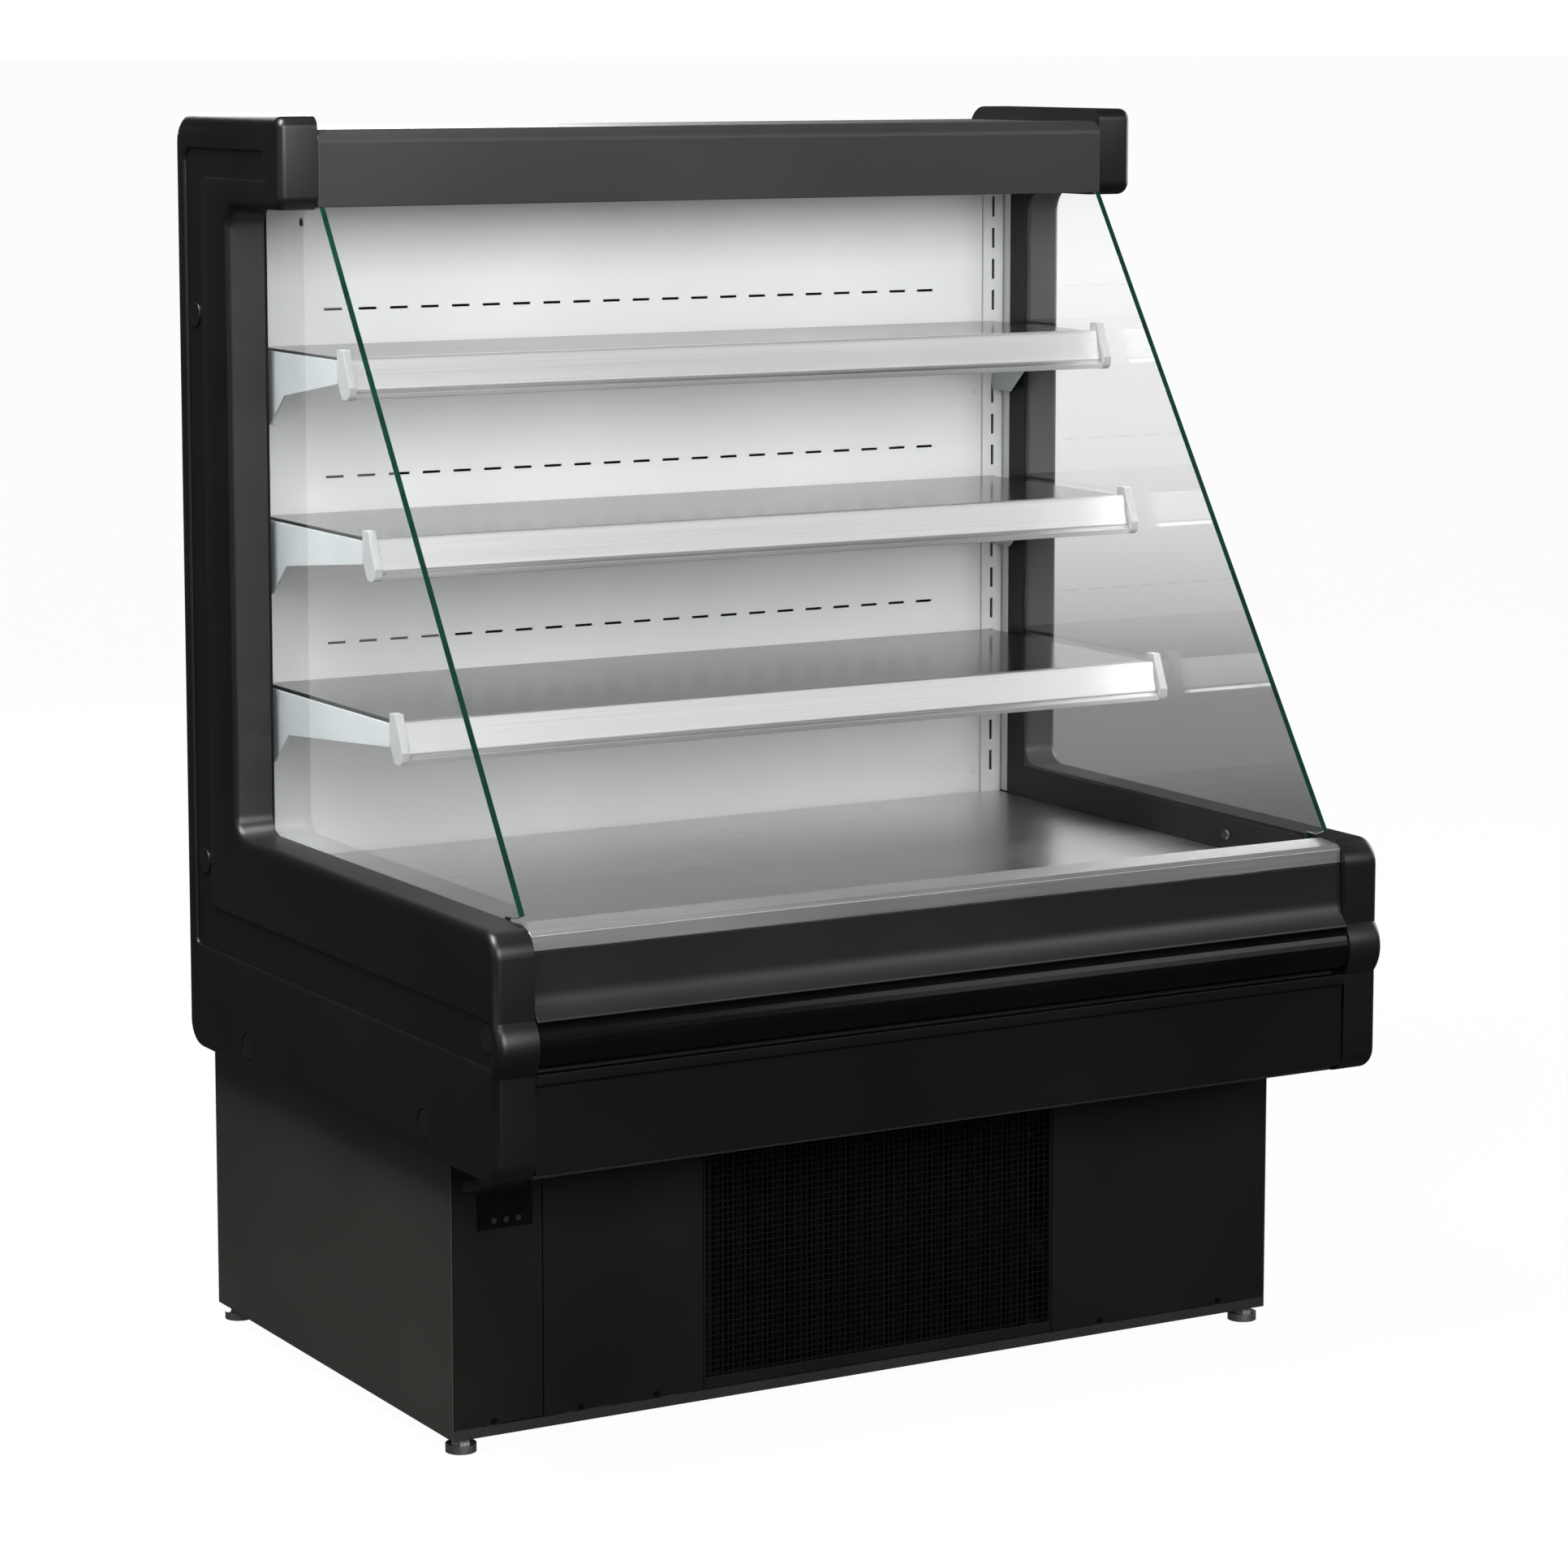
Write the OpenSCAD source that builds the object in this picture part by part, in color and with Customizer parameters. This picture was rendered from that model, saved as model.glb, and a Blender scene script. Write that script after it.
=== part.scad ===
// Refrigerated self-service deli case: an open-fronted display with three shelves and a deck
// between two moulded end panels, over a machine compartment on levelling feet.
// Millimetres. Front faces -Y, +Z is up, and the origin is on the floor under the middle of the case.

/* [Overall] */
// Width over the two end panels
case_w = 1000; // [830:1:1500]
// Depth from the front face of the end panels to their back
case_d = 718; // [690:1:900]

/* [Base] */
// Gap between the floor and the base
foot_gap = 15; // [12:1:30]
// Height of the base, up to the underside of the tank
base_h = 281; // [270:1:380]
// Distance from each end panel's outer face to the base's side
base_inset = 27; // [22:1:36]
// Distance from the end panels' front face to the base's front
base_setback = 150; // [110:1:165]
// Height of the flange under the base's floor
flange_h = 10; // [8:1:16]
// Thickness of the base's folded sheet
sheet_t = 1.5; // [1:0.1:2]
// Width of the panel that carries the controller
control_panel_w = 97.5; // [90:0.5:120]
// Width of the plain panel beside it
service_panel_w = 174.5; // [150:0.5:200]
// Width of the lift-off grille panel
grille_w = 406; // [330:1:440]
// Spacing of the grille's wires
mesh_pitch = 6.35; // [5:0.05:12]
// Thickness of the grille's wires
wire_t = 0.9; // [0.6:0.1:1.5]
// Width of the controller's bezel
control_w = 57; // [50:1:70]
// Height of the controller's bezel
control_h = 35; // [30:1:40]

/* [Feet] */
// Radius of a levelling foot's pad
foot_r = 15; // [12:1:16]
// Radius of a levelling foot's stud
stud_r = 5; // [4:0.5:6]
// Radial clearance of a stud in its tapped boss
stud_fit = 0.05; // [0.03:0.01:0.1]

/* [End panels] */
// Thickness of an end panel
cheek_t = 42; // [36:1:60]
// Height of the end panels above the front lip's top
sill_over = 37; // [34:1:50]
// Depth of the opening's rear edge from the front face
opening_d = 590; // [500:1:600]
// Depth of the arm's front end from the front face
arm_d = 457; // [430:1:480]
// Height of the arm that carries the header
arm_h = 92; // [84:1:110]
// Depth of the moulded channel
channel_t = 3; // [1:0.5:4]
// Height of the bumper's rounded end
bulge_h = 52; // [46:1:60]
// How far the bumper's end stands out
bulge_out = 10; // [8:1:14]
// Radius of a screw cap
cap_r = 13.5; // [10:0.5:15]

/* [Body] */
// Height of the tank, from the base to the deck's top
tank_h = 201; // [190:1:260]
// Thickness of the tank's foam floor
floor_t = 45; // [30:1:50]
// Thickness of the tank's foam rear wall
rear_wall_t = 38; // [30:1:60]
// Depth of the cold-air duct, from the duct panel to the rear wall
duct_t = 31; // [25:1:50]
// Height of the header
header_h = 76; // [70:1:90]
// Depth of the header's face from the front face of the end panels
header_d = 455; // [430:1:478]
// Height of the end panels above the header
cheek_over = 13; // [6:1:20]
// Thickness of the side glass
glass_t = 6; // [4:1:8]

/* [Shelves] */
// Height of the lowest shelf above the deck
first_shelf_h = 185; // [160:1:230]
// Spacing of the slots in the uprights
slot_pitch = 34.5; // [30:0.5:50]
// Slots from one shelf to the next
slots_per_shelf = 5; // [5:1:6]
// Space from the top shelf to the header's underside
top_gap = 147; // [130:1:240]
// Depth of the lowest shelf, rail to duct panel
shelf_1_d = 332; // [250:1:360]
// Depth of the middle shelf
shelf_2_d = 274.5; // [220:1:330]
// Depth of the top shelf
shelf_3_d = 220; // [180:1:280]
// Height of a shelf's folded edge
edge_h = 20; // [16:1:26]
// Gap from a shelf's end to the slots' centre line
slot_side = 6.6; // [6:0.1:9]

/* [Hidden] */
$fn = 48;

// Places across the case
half_w = case_w / 2;
inner_x = half_w - cheek_t;
base_x = half_w - base_inset;
skin_x = base_x - sheet_t;
glass_x = inner_x - glass_t;
upright_w = 25;
upright_x = inner_x - 28;
slot_x = upright_x + upright_w / 2;
slot_l = 22;
slot_below = 12;
seat_h = slot_below + slot_l / 2;
shelf_x = slot_x - slot_side;
shelf_sheet_t = 1.5;
rail_cap_t = 9;
deck_gap = 1;
deck_x = glass_x - deck_gap;

// Places from front to back
front_y = -(case_d + bulge_out) / 2 + bulge_out;
back_y = front_y + case_d;
skin_t = 1.5;
skin_y = back_y - 2.5;
wall_back_y = skin_y - skin_t;
wall_front_y = wall_back_y - rear_wall_t;
duct_y = wall_front_y - duct_t;
duct_sheet_t = 1.2;
upright_y = duct_y - 3;
glass_y = upright_y - 20;
web_t = 2;
header_y = front_y + header_d;
base_y0 = front_y + base_setback;
base_y1 = back_y - 3;

// Heights
base_z = foot_gap;
machine_z = base_z + flange_h;
floor_plate_t = 2;
tank_z = foot_gap + base_h;
sump_z = tank_z + floor_t;
deck_z = tank_z + tank_h;
sill_z = deck_z + sill_over;
shelf_step = slots_per_shelf * slot_pitch;
shelf_z = [for (i = [0:2]) deck_z + first_shelf_h + i * shelf_step];
shelf_d = [shelf_1_d, shelf_2_d, shelf_3_d];
header_z = shelf_z[2] + top_gap;
header_top_z = header_z + header_h;
case_top_z = header_top_z + cheek_over;
arm_z = case_top_z - arm_h;
duct_top_z = header_z + 6;
roof_z = header_z + 32;
header_skin_t = 3;

// Corner posts, with the feet's studs inside them
post_w = 30;
post_wall = 2;
foot_x = skin_x - post_w / 2;
foot_y = [base_y0 + sheet_t + post_w / 2, base_y1 - sheet_t - post_w / 2];
rail_w = 22;
foot_pad_h = 8;
foot_hex_r = 10;
foot_stud_l = foot_gap + 40;

// Panels across the base's front
panel_gap = 1;
panel_z0 = machine_z + panel_gap;
panel_z1 = tank_z - 3;
control_x1 = -base_x + control_panel_w;
service_x1 = control_x1 + service_panel_w;
grille_x0 = service_x1 + panel_gap;
grille_x1 = grille_x0 + grille_w - panel_gap;
fold_t = 12;
grille_border = 11;
grille_side = 2;
grille_top = 13;
screw_r = 2;
screw_z = panel_z0 + 3.5;
screw_x = [control_x1 - 53.5, control_x1 + 39.5, service_x1 - 52, grille_x1 + 60, base_x - 60];
control_x = control_x1 - 12.5 - control_w / 2;
control_z = tank_z - 60.5;
bezel_t = 3;
key_r = 3;
key_gap = 0.3;
key_pitch = 13;
key_stand = 1;
key_l = 4;
key_z = control_z - control_h / 2 + 8;

// Bumper and the panels above and below it
bumper_z = tank_z + 108;
bumper_h = 43;
bulge_z = bumper_z - 6;
front_gap = 0.5;
front_x = inner_x - front_gap;
lip_z = deck_z + 15;

// Machine parts
coil_w = 380;
coil_h = 220;
coil_t = 60;
coil_x = (grille_x0 + grille_x1) / 2;
coil_y = base_y0 + 19;
fan_z = machine_z + 8 + coil_h / 2;
shroud_y = coil_y + coil_t;
comp_x = min(coil_x + coil_w / 2 + 105, skin_x - post_w - 85);
comp_y = base_y1 - 170;
comp_r = 72;
comp_top = machine_z + 186;
suction_port = 40;
discharge_port = 30;
port_h = 20;
pipe_r = 5;
pipe_fit = 0.05;
riser_x = coil_x - coil_w / 2 - 40;
pan_x = coil_x - 120;
pan_y = base_y1 - 190;
pan_w = 260;
pan_l = 150;
pan_h = 45;
pan_wall = 1.5;
box_w = 90;
box_l = 120;
box_h = 160;
box_wall = 2;
lid_over = 1.5;
evap_fan_x = 190;
evap_fan_r = 57;
evap_mount_y = front_y + 190;
evap_z = sump_z + 70;
evap_y = front_y + 300;
evap_t = 130;
evap_w = 2 * (inner_x - 70);
evap_stand = 6;
shaft_r = 4;
shaft_fit = 0.05;

// Point on a circle
function on_circle(c, r, a) = [c[0] + r * cos(a), c[1] + r * sin(a)];
function unit(v) = v / norm(v);

// Arc that replaces the corner b of the path a, b, c with radius r
function corner(a, b, c, r) =
    let (u = unit(a - b), v = unit(c - b), half = acos(u * v) / 2)
    let (m = b + unit(u + v) * r / sin(half), p = b + u * r / tan(half) - m)
    let (q = b + v * r / tan(half) - m, a0 = atan2(p[1], p[0]), turn = atan2(q[1], q[0]) - a0)
    let (sweep = turn > 180 ? turn - 360 : turn < -180 ? turn + 360 : turn)
    [for (i = [0:8]) on_circle(m, r, a0 + sweep * i / 8)];

// Outline through points [y, z, corner radius]
function rounded(pts) = [
    for (i = [0:len(pts) - 1])
        let (n = len(pts), a = pts[(i + n - 1) % n], b = pts[i], c = pts[(i + 1) % n])
        each b[2] == 0 ? [[b[0], b[1]]]
            : corner([a[0], a[1]], [b[0], b[1]], [c[0], c[1]], b[2])
];

// Shallow arc from (y, z0) to (y, z1) that bows forward by out
function bow(y, z0, z1, out, n = 10) =
    let (h = (z1 - z0) / 2, r = (h * h + out * out) / (2 * out), a = asin(h / r))
    [for (i = [0:n]) on_circle([y - out + r, z0 + h], r, 180 + a - 2 * a * i / n)];

// Extrudes a (y, z) outline along +X from x
module across(x, w) {
    translate([x, 0, 0]) rotate([90, 0, 90]) linear_extrude(w) children();
}

module block(x0, x1, y0, y1, z0, z1) {
    translate([x0, y0, z0]) cube([x1 - x0, y1 - y0, z1 - z0]);
}

module both_sides() {
    children();
    mirror([1, 0, 0]) children();
}

// Straight tubes through points, with a ball at each bend
module tube_run(pts, r) {
    for (i = [0:len(pts) - 2]) {
        d = pts[i + 1] - pts[i];
        l = norm(d);
        translate(pts[i]) rotate([0, acos(d[2] / l), atan2(d[1], d[0])]) cylinder(r = r, h = l);
    }
    for (i = [1:len(pts) - 2]) translate(pts[i]) sphere(r = r);
}

// Length of a comb of fins that fits in w
function comb_length(w, pitch, fin) = (floor(w / pitch) - 1) * pitch + fin;

// Fins on a plate core, seen from above, as one comb centred on the origin
function comb(w, t, core, pitch, fin) =
    let (n = floor(w / pitch), x = -comb_length(w, pitch, fin) / 2, y = t / 2, c = core / 2)
    concat(
        [for (i = [0:n - 1]) each [[x + i * pitch, -c], [x + i * pitch, -y],
            [x + i * pitch + fin, -y], [x + i * pitch + fin, -c]]],
        [for (i = [n - 1:-1:0]) each [[x + i * pitch + fin, c], [x + i * pitch + fin, y],
            [x + i * pitch, y], [x + i * pitch, c]]]
    );

// Axial fan with its shaft, along +Z
module fan(tip_r, hub_r, depth, blades, shaft_l) {
    cylinder(r = hub_r, h = depth);
    translate([0, 0, depth]) cylinder(r = shaft_r, h = shaft_l);
    for (i = [0:blades - 1])
        rotate([0, 0, i * 360 / blades]) translate([hub_r - 2, 0, depth / 2]) rotate([28, 0, 0])
            linear_extrude(1.6, center = true)
                polygon([[0, -hub_r * 0.5], [tip_r - hub_r - 6, -tip_r * 0.3],
                    [tip_r - hub_r, 0], [tip_r - hub_r - 6, tip_r * 0.3], [0, hub_r * 0.5]]);
}

// Motor on a three-armed spider, along +Z, standing on a plate at z = 0
module motor(hole_r, motor_r, motor_l, stand, shaft_l) {
    difference() {
        union() {
            translate([0, 0, stand]) cylinder(r = motor_r, h = motor_l);
            for (a = [30:120:270]) rotate([0, 0, a]) {
                translate([motor_r - 3, -5, stand]) cube([hole_r + 12 - motor_r + 3, 10, 3]);
                translate([hole_r + 7, 0, 0]) cylinder(r = 4, h = stand + 1);
            }
        }
        translate([0, 0, stand - 1]) cylinder(r = shaft_r + shaft_fit, h = shaft_l + 3);
    }
}

module screw_row(r, y0, y1) {
    for (x = screw_x) translate([x, y0, screw_z]) rotate([-90, 0, 0]) cylinder(r = r, h = y1 - y0);
}

module front_panel(x0, x1, fold_left, fold_right) {
    fold_z1 = tank_z - rail_w - panel_gap;
    block(x0, x1, base_y0, base_y0 + sheet_t, panel_z0, panel_z1);
    if (fold_left) block(x0, x0 + sheet_t, base_y0, base_y0 + fold_t, panel_z0, fold_z1);
    if (fold_right) block(x1 - sheet_t, x1, base_y0, base_y0 + fold_t, panel_z0, fold_z1);
}

module base_frame() {
    boss_r = 12;
    lug_t = 2;
    lug_y = base_y0 + sheet_t;
    color("#2c2c2c") difference() {
        union() {
            difference() {
                block(-skin_x, skin_x, base_y0, base_y1 - sheet_t, base_z, machine_z);
                block(-skin_x + floor_plate_t, skin_x - floor_plate_t, base_y0 + floor_plate_t,
                    base_y1 - sheet_t - floor_plate_t, base_z - 1, machine_z - floor_plate_t);
            }
            for (y = foot_y) both_sides() {
                translate([foot_x, y, base_z]) cylinder(r = boss_r, h = flange_h);
                difference() {
                    block(foot_x - post_w / 2, skin_x, y - post_w / 2, y + post_w / 2,
                        machine_z, tank_z - rail_w);
                    block(foot_x - post_w / 2 + post_wall, skin_x - post_wall,
                        y - post_w / 2 + post_wall, y + post_w / 2 - post_wall,
                        machine_z, tank_z - rail_w);
                }
                block(-1, skin_x, y - rail_w / 2, y + rail_w / 2, tank_z - rail_w, tank_z);
            }
            both_sides()
                block(skin_x - rail_w, skin_x, foot_y[0], foot_y[1], tank_z - rail_w, tank_z);
            for (x = screw_x)
                block(x - 8, x + 8, lug_y, lug_y + lug_t, machine_z - 1, screw_z + 7);
        }
        for (y = foot_y) both_sides()
            translate([foot_x, y, base_z - 1]) cylinder(r = stud_r + stud_fit, h = flange_h + 4);
        screw_row(screw_r + stud_fit, lug_y - 1, lug_y + lug_t + 1);
    }
}

module base_side() {
    block(skin_x, base_x, base_y0, base_y1, base_z, tank_z);
}
module base_side_left() { color("#343230") mirror([1, 0, 0]) base_side(); }
module base_side_right() { color("#343230") base_side(); }

module rear_grille() {
    slot_w = (2 * skin_x - 160) / 3;
    color("#343230") difference() {
        block(-skin_x, skin_x, base_y1 - sheet_t, base_y1, base_z, tank_z);
        for (i = [0:2], j = [0:7])
            block(-skin_x + 60 + i * (slot_w + 20), -skin_x + 60 + i * (slot_w + 20) + slot_w,
                base_y1 - sheet_t - 1, base_y1 + 1, base_z + 90 + j * 18, base_z + 97 + j * 18);
        translate([-skin_x + 90, base_y1 - 5, base_z + 50]) rotate([-90, 0, 0]) cylinder(r = 8, h = 9);
    }
}

module controller_panel() {
    slot_x0 = -base_x + 12;
    color("#211f1d") difference() {
        front_panel(-skin_x + 0.5, control_x1 - panel_gap, false, true);
        block(slot_x0, slot_x0 + 72, base_y0 - 1, base_y0 + 3, control_z + 20, control_z + 31);
        block(control_x - control_w / 2 + 4.5, control_x + control_w / 2 - 4.5, base_y0 - 1,
            base_y0 + 3, control_z - control_h / 2 + 3, control_z + control_h / 2 - 3);
        screw_row(screw_r + stud_fit, base_y0 - 1, base_y0 + 3);
    }
}

module service_panel() {
    color("#211f1d") difference() {
        front_panel(control_x1, service_x1, true, true);
        screw_row(screw_r + stud_fit, base_y0 - 1, base_y0 + 3);
    }
}

module right_panel() {
    color("#211f1d") difference() {
        front_panel(grille_x1 + panel_gap, skin_x - 0.5, true, false);
        screw_row(screw_r + stud_fit, base_y0 - 1, base_y0 + 3);
    }
}

module grille_panel() {
    color("#1c1b1a") difference() {
        front_panel(grille_x0, grille_x1, true, true);
        block(grille_x0 + grille_side, grille_x1 - grille_side, base_y0 - 1, base_y0 + sheet_t + 1,
            panel_z0 + grille_border, panel_z1 - grille_top);
    }
}

// Two layers of straight wires, welded where they touch
module grille_mesh() {
    x0 = grille_x0 + sheet_t + 0.5;
    x1 = grille_x1 - sheet_t - 0.5;
    z0 = panel_z0 + grille_border - 4;
    z1 = panel_z1 - grille_top + 4;
    y = base_y0 + sheet_t;
    nx = floor((x1 - x0) / mesh_pitch);
    nz = floor((z1 - z0) / mesh_pitch);
    color("#3a3a3a") {
        for (i = [0:nx]) block(x0 + i * mesh_pitch, x0 + i * mesh_pitch + wire_t, y, y + wire_t, z0, z1);
        for (i = [0:nz])
            block(x0, x1, y + wire_t, y + 2 * wire_t, z0 + i * mesh_pitch, z0 + i * mesh_pitch + wire_t);
    }
}

module panel_screws() {
    color("#111111") {
        screw_row(3, base_y0 - 1.8, base_y0);
        screw_row(screw_r, base_y0, base_y0 + sheet_t + 6);
    }
}

module controller() {
    x0 = control_x - control_w / 2;
    z0 = control_z - control_h / 2;
    color("#0d0d0d") difference() {
        union() {
            block(x0, x0 + control_w, base_y0 - bezel_t, base_y0, z0, z0 + control_h);
            block(x0 + 5, x0 + control_w - 5, base_y0, base_y0 + 36, z0 + 3.5, z0 + control_h - 3.5);
        }
        block(x0 + 8, x0 + control_w - 8, base_y0 - bezel_t - 1, base_y0 - bezel_t + 0.6,
            z0 + 14, z0 + control_h - 4);
        for (k = [-1:1])
            translate([control_x + k * key_pitch, base_y0 - bezel_t - 1, key_z])
                rotate([-90, 0, 0]) cylinder(r = key_r + key_gap, h = key_l + 2);
    }
}

module key(k) {
    color("#6d6d6d") translate([control_x + k * key_pitch, base_y0 - bezel_t - key_stand, key_z])
        rotate([-90, 0, 0]) cylinder(r = key_r, h = key_l);
}
module key_set() { key(-1); }
module key_up() { key(0); }
module key_down() { key(1); }

// Pad, hexagon and stud of a levelling foot
module foot(x, y) {
    color("#b9b9b4") translate([x, y, 0]) {
        cylinder(r = foot_r, h = foot_pad_h);
        cylinder(r = foot_hex_r, h = foot_gap - 0.3, $fn = 6);
        cylinder(r = stud_r, h = foot_stud_l);
    }
}
module foot_front_left() { foot(-foot_x, foot_y[0]); }
module foot_front_right() { foot(foot_x, foot_y[0]); }
module foot_rear_left() { foot(-foot_x, foot_y[1]); }
module foot_rear_right() { foot(foot_x, foot_y[1]); }

module compressor() {
    z0 = machine_z + 50;
    z1 = z0 + 100;
    dome_h = comp_top - z1;
    color("#1b1b1b") translate([comp_x, comp_y, 0]) {
        difference() {
            rotate_extrude() polygon(concat(
                [for (t = [-90:15:0]) [comp_r * cos(t), z0 + dome_h * sin(t)]],
                [for (t = [0:15:90]) [comp_r * cos(t), z1 + dome_h * sin(t)]]));
            translate([0, suction_port, comp_top - port_h])
                cylinder(r = pipe_r + pipe_fit, h = port_h + 1);
            translate([discharge_port, 0, comp_top - port_h])
                cylinder(r = pipe_r - 1 + pipe_fit, h = port_h + 1);
        }
        block(-80, 80, -62, 62, machine_z + 12, machine_z + 15);
        for (x = [-66, 66], y = [-50, 50]) translate([x, y, machine_z]) cylinder(r = 11, h = 12);
        block(-34, 34, -comp_r - 24, -comp_r + 6, z0 + 20, z1 - 10);
    }
}

module condenser_coil() {
    pitch = 5;
    fin = 0.8;
    l = comb_length(coil_w - 4, pitch, fin);
    z0 = fan_z - coil_h / 2;
    color("#8e9091") {
        translate([coil_x, coil_y + coil_t / 2, z0]) linear_extrude(coil_h)
            polygon(comb(coil_w - 4, coil_t, 14, pitch, fin));
        for (x = [coil_x - l / 2 - 2, coil_x + l / 2])
            block(x, x + 2, coil_y, shroud_y, machine_z, z0 + coil_h);
    }
}

module condenser_fan() {
    color("#d0d0d0") translate([coil_x, shroud_y + 8, fan_z]) rotate([-90, 0, 0])
        fan(98, 22, 24, 5, 28);
}

module condenser_fan_mount() {
    color("#4a4a4a") translate([coil_x, shroud_y, fan_z]) rotate([-90, 0, 0]) {
        difference() {
            union() {
                translate([-coil_w / 2, -coil_h / 2, 0]) cube([coil_w, coil_h, 1.5]);
                cylinder(r = 106.5, h = 20);
            }
            translate([0, 0, -1]) cylinder(r = 105, h = 22);
        }
        translate([0, 0, 1.5]) motor(106, 36, 50, 42, 28);
    }
}

// Discharge line, liquid line with its drier, and suction line
module refrigerant_pipes() {
    coil_end_x = coil_x + coil_w / 2;
    coil_start_x = coil_x - coil_w / 2;
    coil_mid_y = coil_y + coil_t / 2;
    evap_mid_y = evap_y + evap_t / 2;
    liquid = [[coil_start_x, coil_mid_y, machine_z + 40], [riser_x, coil_mid_y, machine_z + 40],
        [riser_x, evap_mid_y, machine_z + 40], [riser_x, evap_mid_y, sump_z + evap_stand]];
    suction_y = comp_y + suction_port;
    suction = [[comp_x, suction_y, comp_top - port_h], [comp_x, suction_y, tank_z - 26],
        [riser_x + 60, suction_y, tank_z - 26], [riser_x + 60, evap_mid_y, tank_z - 26],
        [riser_x + 60, evap_mid_y, sump_z + evap_stand]];
    discharge_x = comp_x + discharge_port;
    discharge = [[discharge_x, comp_y, comp_top - port_h], [discharge_x, comp_y, comp_top + 10],
        [discharge_x, coil_mid_y, comp_top + 10], [coil_end_x, coil_mid_y, comp_top + 10]];
    color("#b8713a") {
        tube_run(liquid, pipe_r - 1);
        translate([riser_x, coil_mid_y + 40, machine_z + 40]) rotate([-90, 0, 0])
            cylinder(r = 14, h = 90);
        tube_run(suction, pipe_r);
        tube_run(discharge, pipe_r - 1);
    }
}

module condensate_pan() {
    color("#9a9a98") translate([pan_x - pan_w / 2, pan_y - 10, machine_z]) difference() {
        cube([pan_w, pan_l, pan_h]);
        translate([pan_wall, pan_wall, pan_wall])
            cube([pan_w - 2 * pan_wall, pan_l - 2 * pan_wall, pan_h]);
    }
}

module electrical_box() {
    color("#b4b4b0") translate([-skin_x + 42, base_y0 + 54, machine_z]) {
        difference() {
            cube([box_w, box_l, box_h]);
            translate([box_wall, box_wall, box_wall])
                cube([box_w - 2 * box_wall, box_l - 2 * box_wall, box_h - 2 * box_wall]);
        }
        translate([-lid_over, -lid_over, box_h])
            cube([box_w + 2 * lid_over, box_l + 2 * lid_over, box_wall]);
    }
}

module power_inlet() {
    color("#1a1a1a") translate([-skin_x + 90, 0, base_z + 50]) rotate([-90, 0, 0]) difference() {
        union() {
            translate([0, 0, base_y1]) cylinder(r = 11, h = 2.8, $fn = 6);
            translate([0, 0, base_y1 - 20]) cylinder(r = 7.9, h = 20);
            translate([0, 0, base_y1 - sheet_t - 6]) cylinder(r = 11, h = 6, $fn = 6);
        }
        translate([0, 0, base_y1 - 21]) cylinder(r = 4.5, h = 25);
    }
}

// Side view of an end panel: a C, without the bumper's rounded end
cheek_outline = rounded([
    [front_y, bulge_z, 0], [front_y, tank_z, 22], [back_y, tank_z, 28], [back_y, case_top_z, 30],
    [front_y + arm_d, case_top_z, 12], [front_y + arm_d, arm_z, 14],
    [front_y + opening_d, arm_z, 22], [front_y + opening_d, sill_z, 22], [front_y, sill_z, 26],
    [front_y, bulge_z + bulge_h, 0]
]);
channel = rounded([
    [front_y + arm_d + 40, case_top_z - 35, 0], [back_y - 23, case_top_z - 35, 14],
    [back_y - 23, tank_z + 111, 6], [front_y + 10, tank_z + 111, 0], [front_y + 10, tank_z + 155, 6],
    [front_y + opening_d + 64, tank_z + 155, 10], [front_y + opening_d + 64, case_top_z - 63, 8],
    [front_y + arm_d + 40, case_top_z - 63, 0]
]);
// Screw caps: [y, z, depth of the face they sit in]
cap_places = [
    [back_y - 41, case_top_z - 203, channel_t], [back_y - 44, tank_z + 200, channel_t],
    [front_y + 565, tank_z + 25, 0], [front_y + 150, tank_z + 32, 0],
    [front_y + 18, bulge_z + 36, channel_t]
];
pocket_t = 4;

module right_cheek_solid() {
    difference() {
        union() {
            across(inner_x, cheek_t) polygon(cheek_outline);
            across(inner_x, cheek_t)
                polygon(bow(front_y + 0.01, bulge_z, bulge_z + bulge_h, bulge_out + 0.01));
        }
        across(half_w - channel_t, channel_t + 1) polygon(channel);
        for (c = cap_places) translate([half_w - c[2] - pocket_t, c[0], c[1]]) rotate([0, 90, 0])
            cylinder(r = cap_r + 0.6, h = 20);
    }
}
module left_cheek() { color("#1f1e1d") mirror([1, 0, 0]) right_cheek_solid(); }
module right_cheek() { color("#1f1e1d") right_cheek_solid(); }

module screw_caps() {
    color("#161616") both_sides() for (c = cap_places)
        translate([half_w - c[2] - pocket_t, c[0], c[1]]) rotate([0, 90, 0])
            cylinder(r = cap_r, h = pocket_t + (c[2] > 0 ? 1.5 : -0.3));
}

module header_front() {
    r = 14;
    t = header_skin_t;
    y = header_y;
    z0 = header_z;
    z1 = header_top_z;
    color("#343434") across(-inner_x, 2 * inner_x) polygon(concat(
        [[y + 20, z0], [y, z0]],
        [for (a = [180:-15:90]) on_circle([y + r, z1 - r], r, a)], [[y + 50, z1], [y + 50, z1 - t]],
        [for (a = [90:15:180]) on_circle([y + r, z1 - r], r - t, a)],
        [[y + t, z0 + t], [y + 20, z0 + t]]));
}

module header_top() {
    z = header_top_z - header_skin_t;
    color("#1d1d1d") block(-inner_x, inner_x, header_y + 50, skin_y, z, z + 1.5);
}

module header_lamp() {
    color("#f2f2ee")
        block(-inner_x + 28, inner_x - 28, header_y + 28, header_y + 50, roof_z - 16, roof_z);
}

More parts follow.
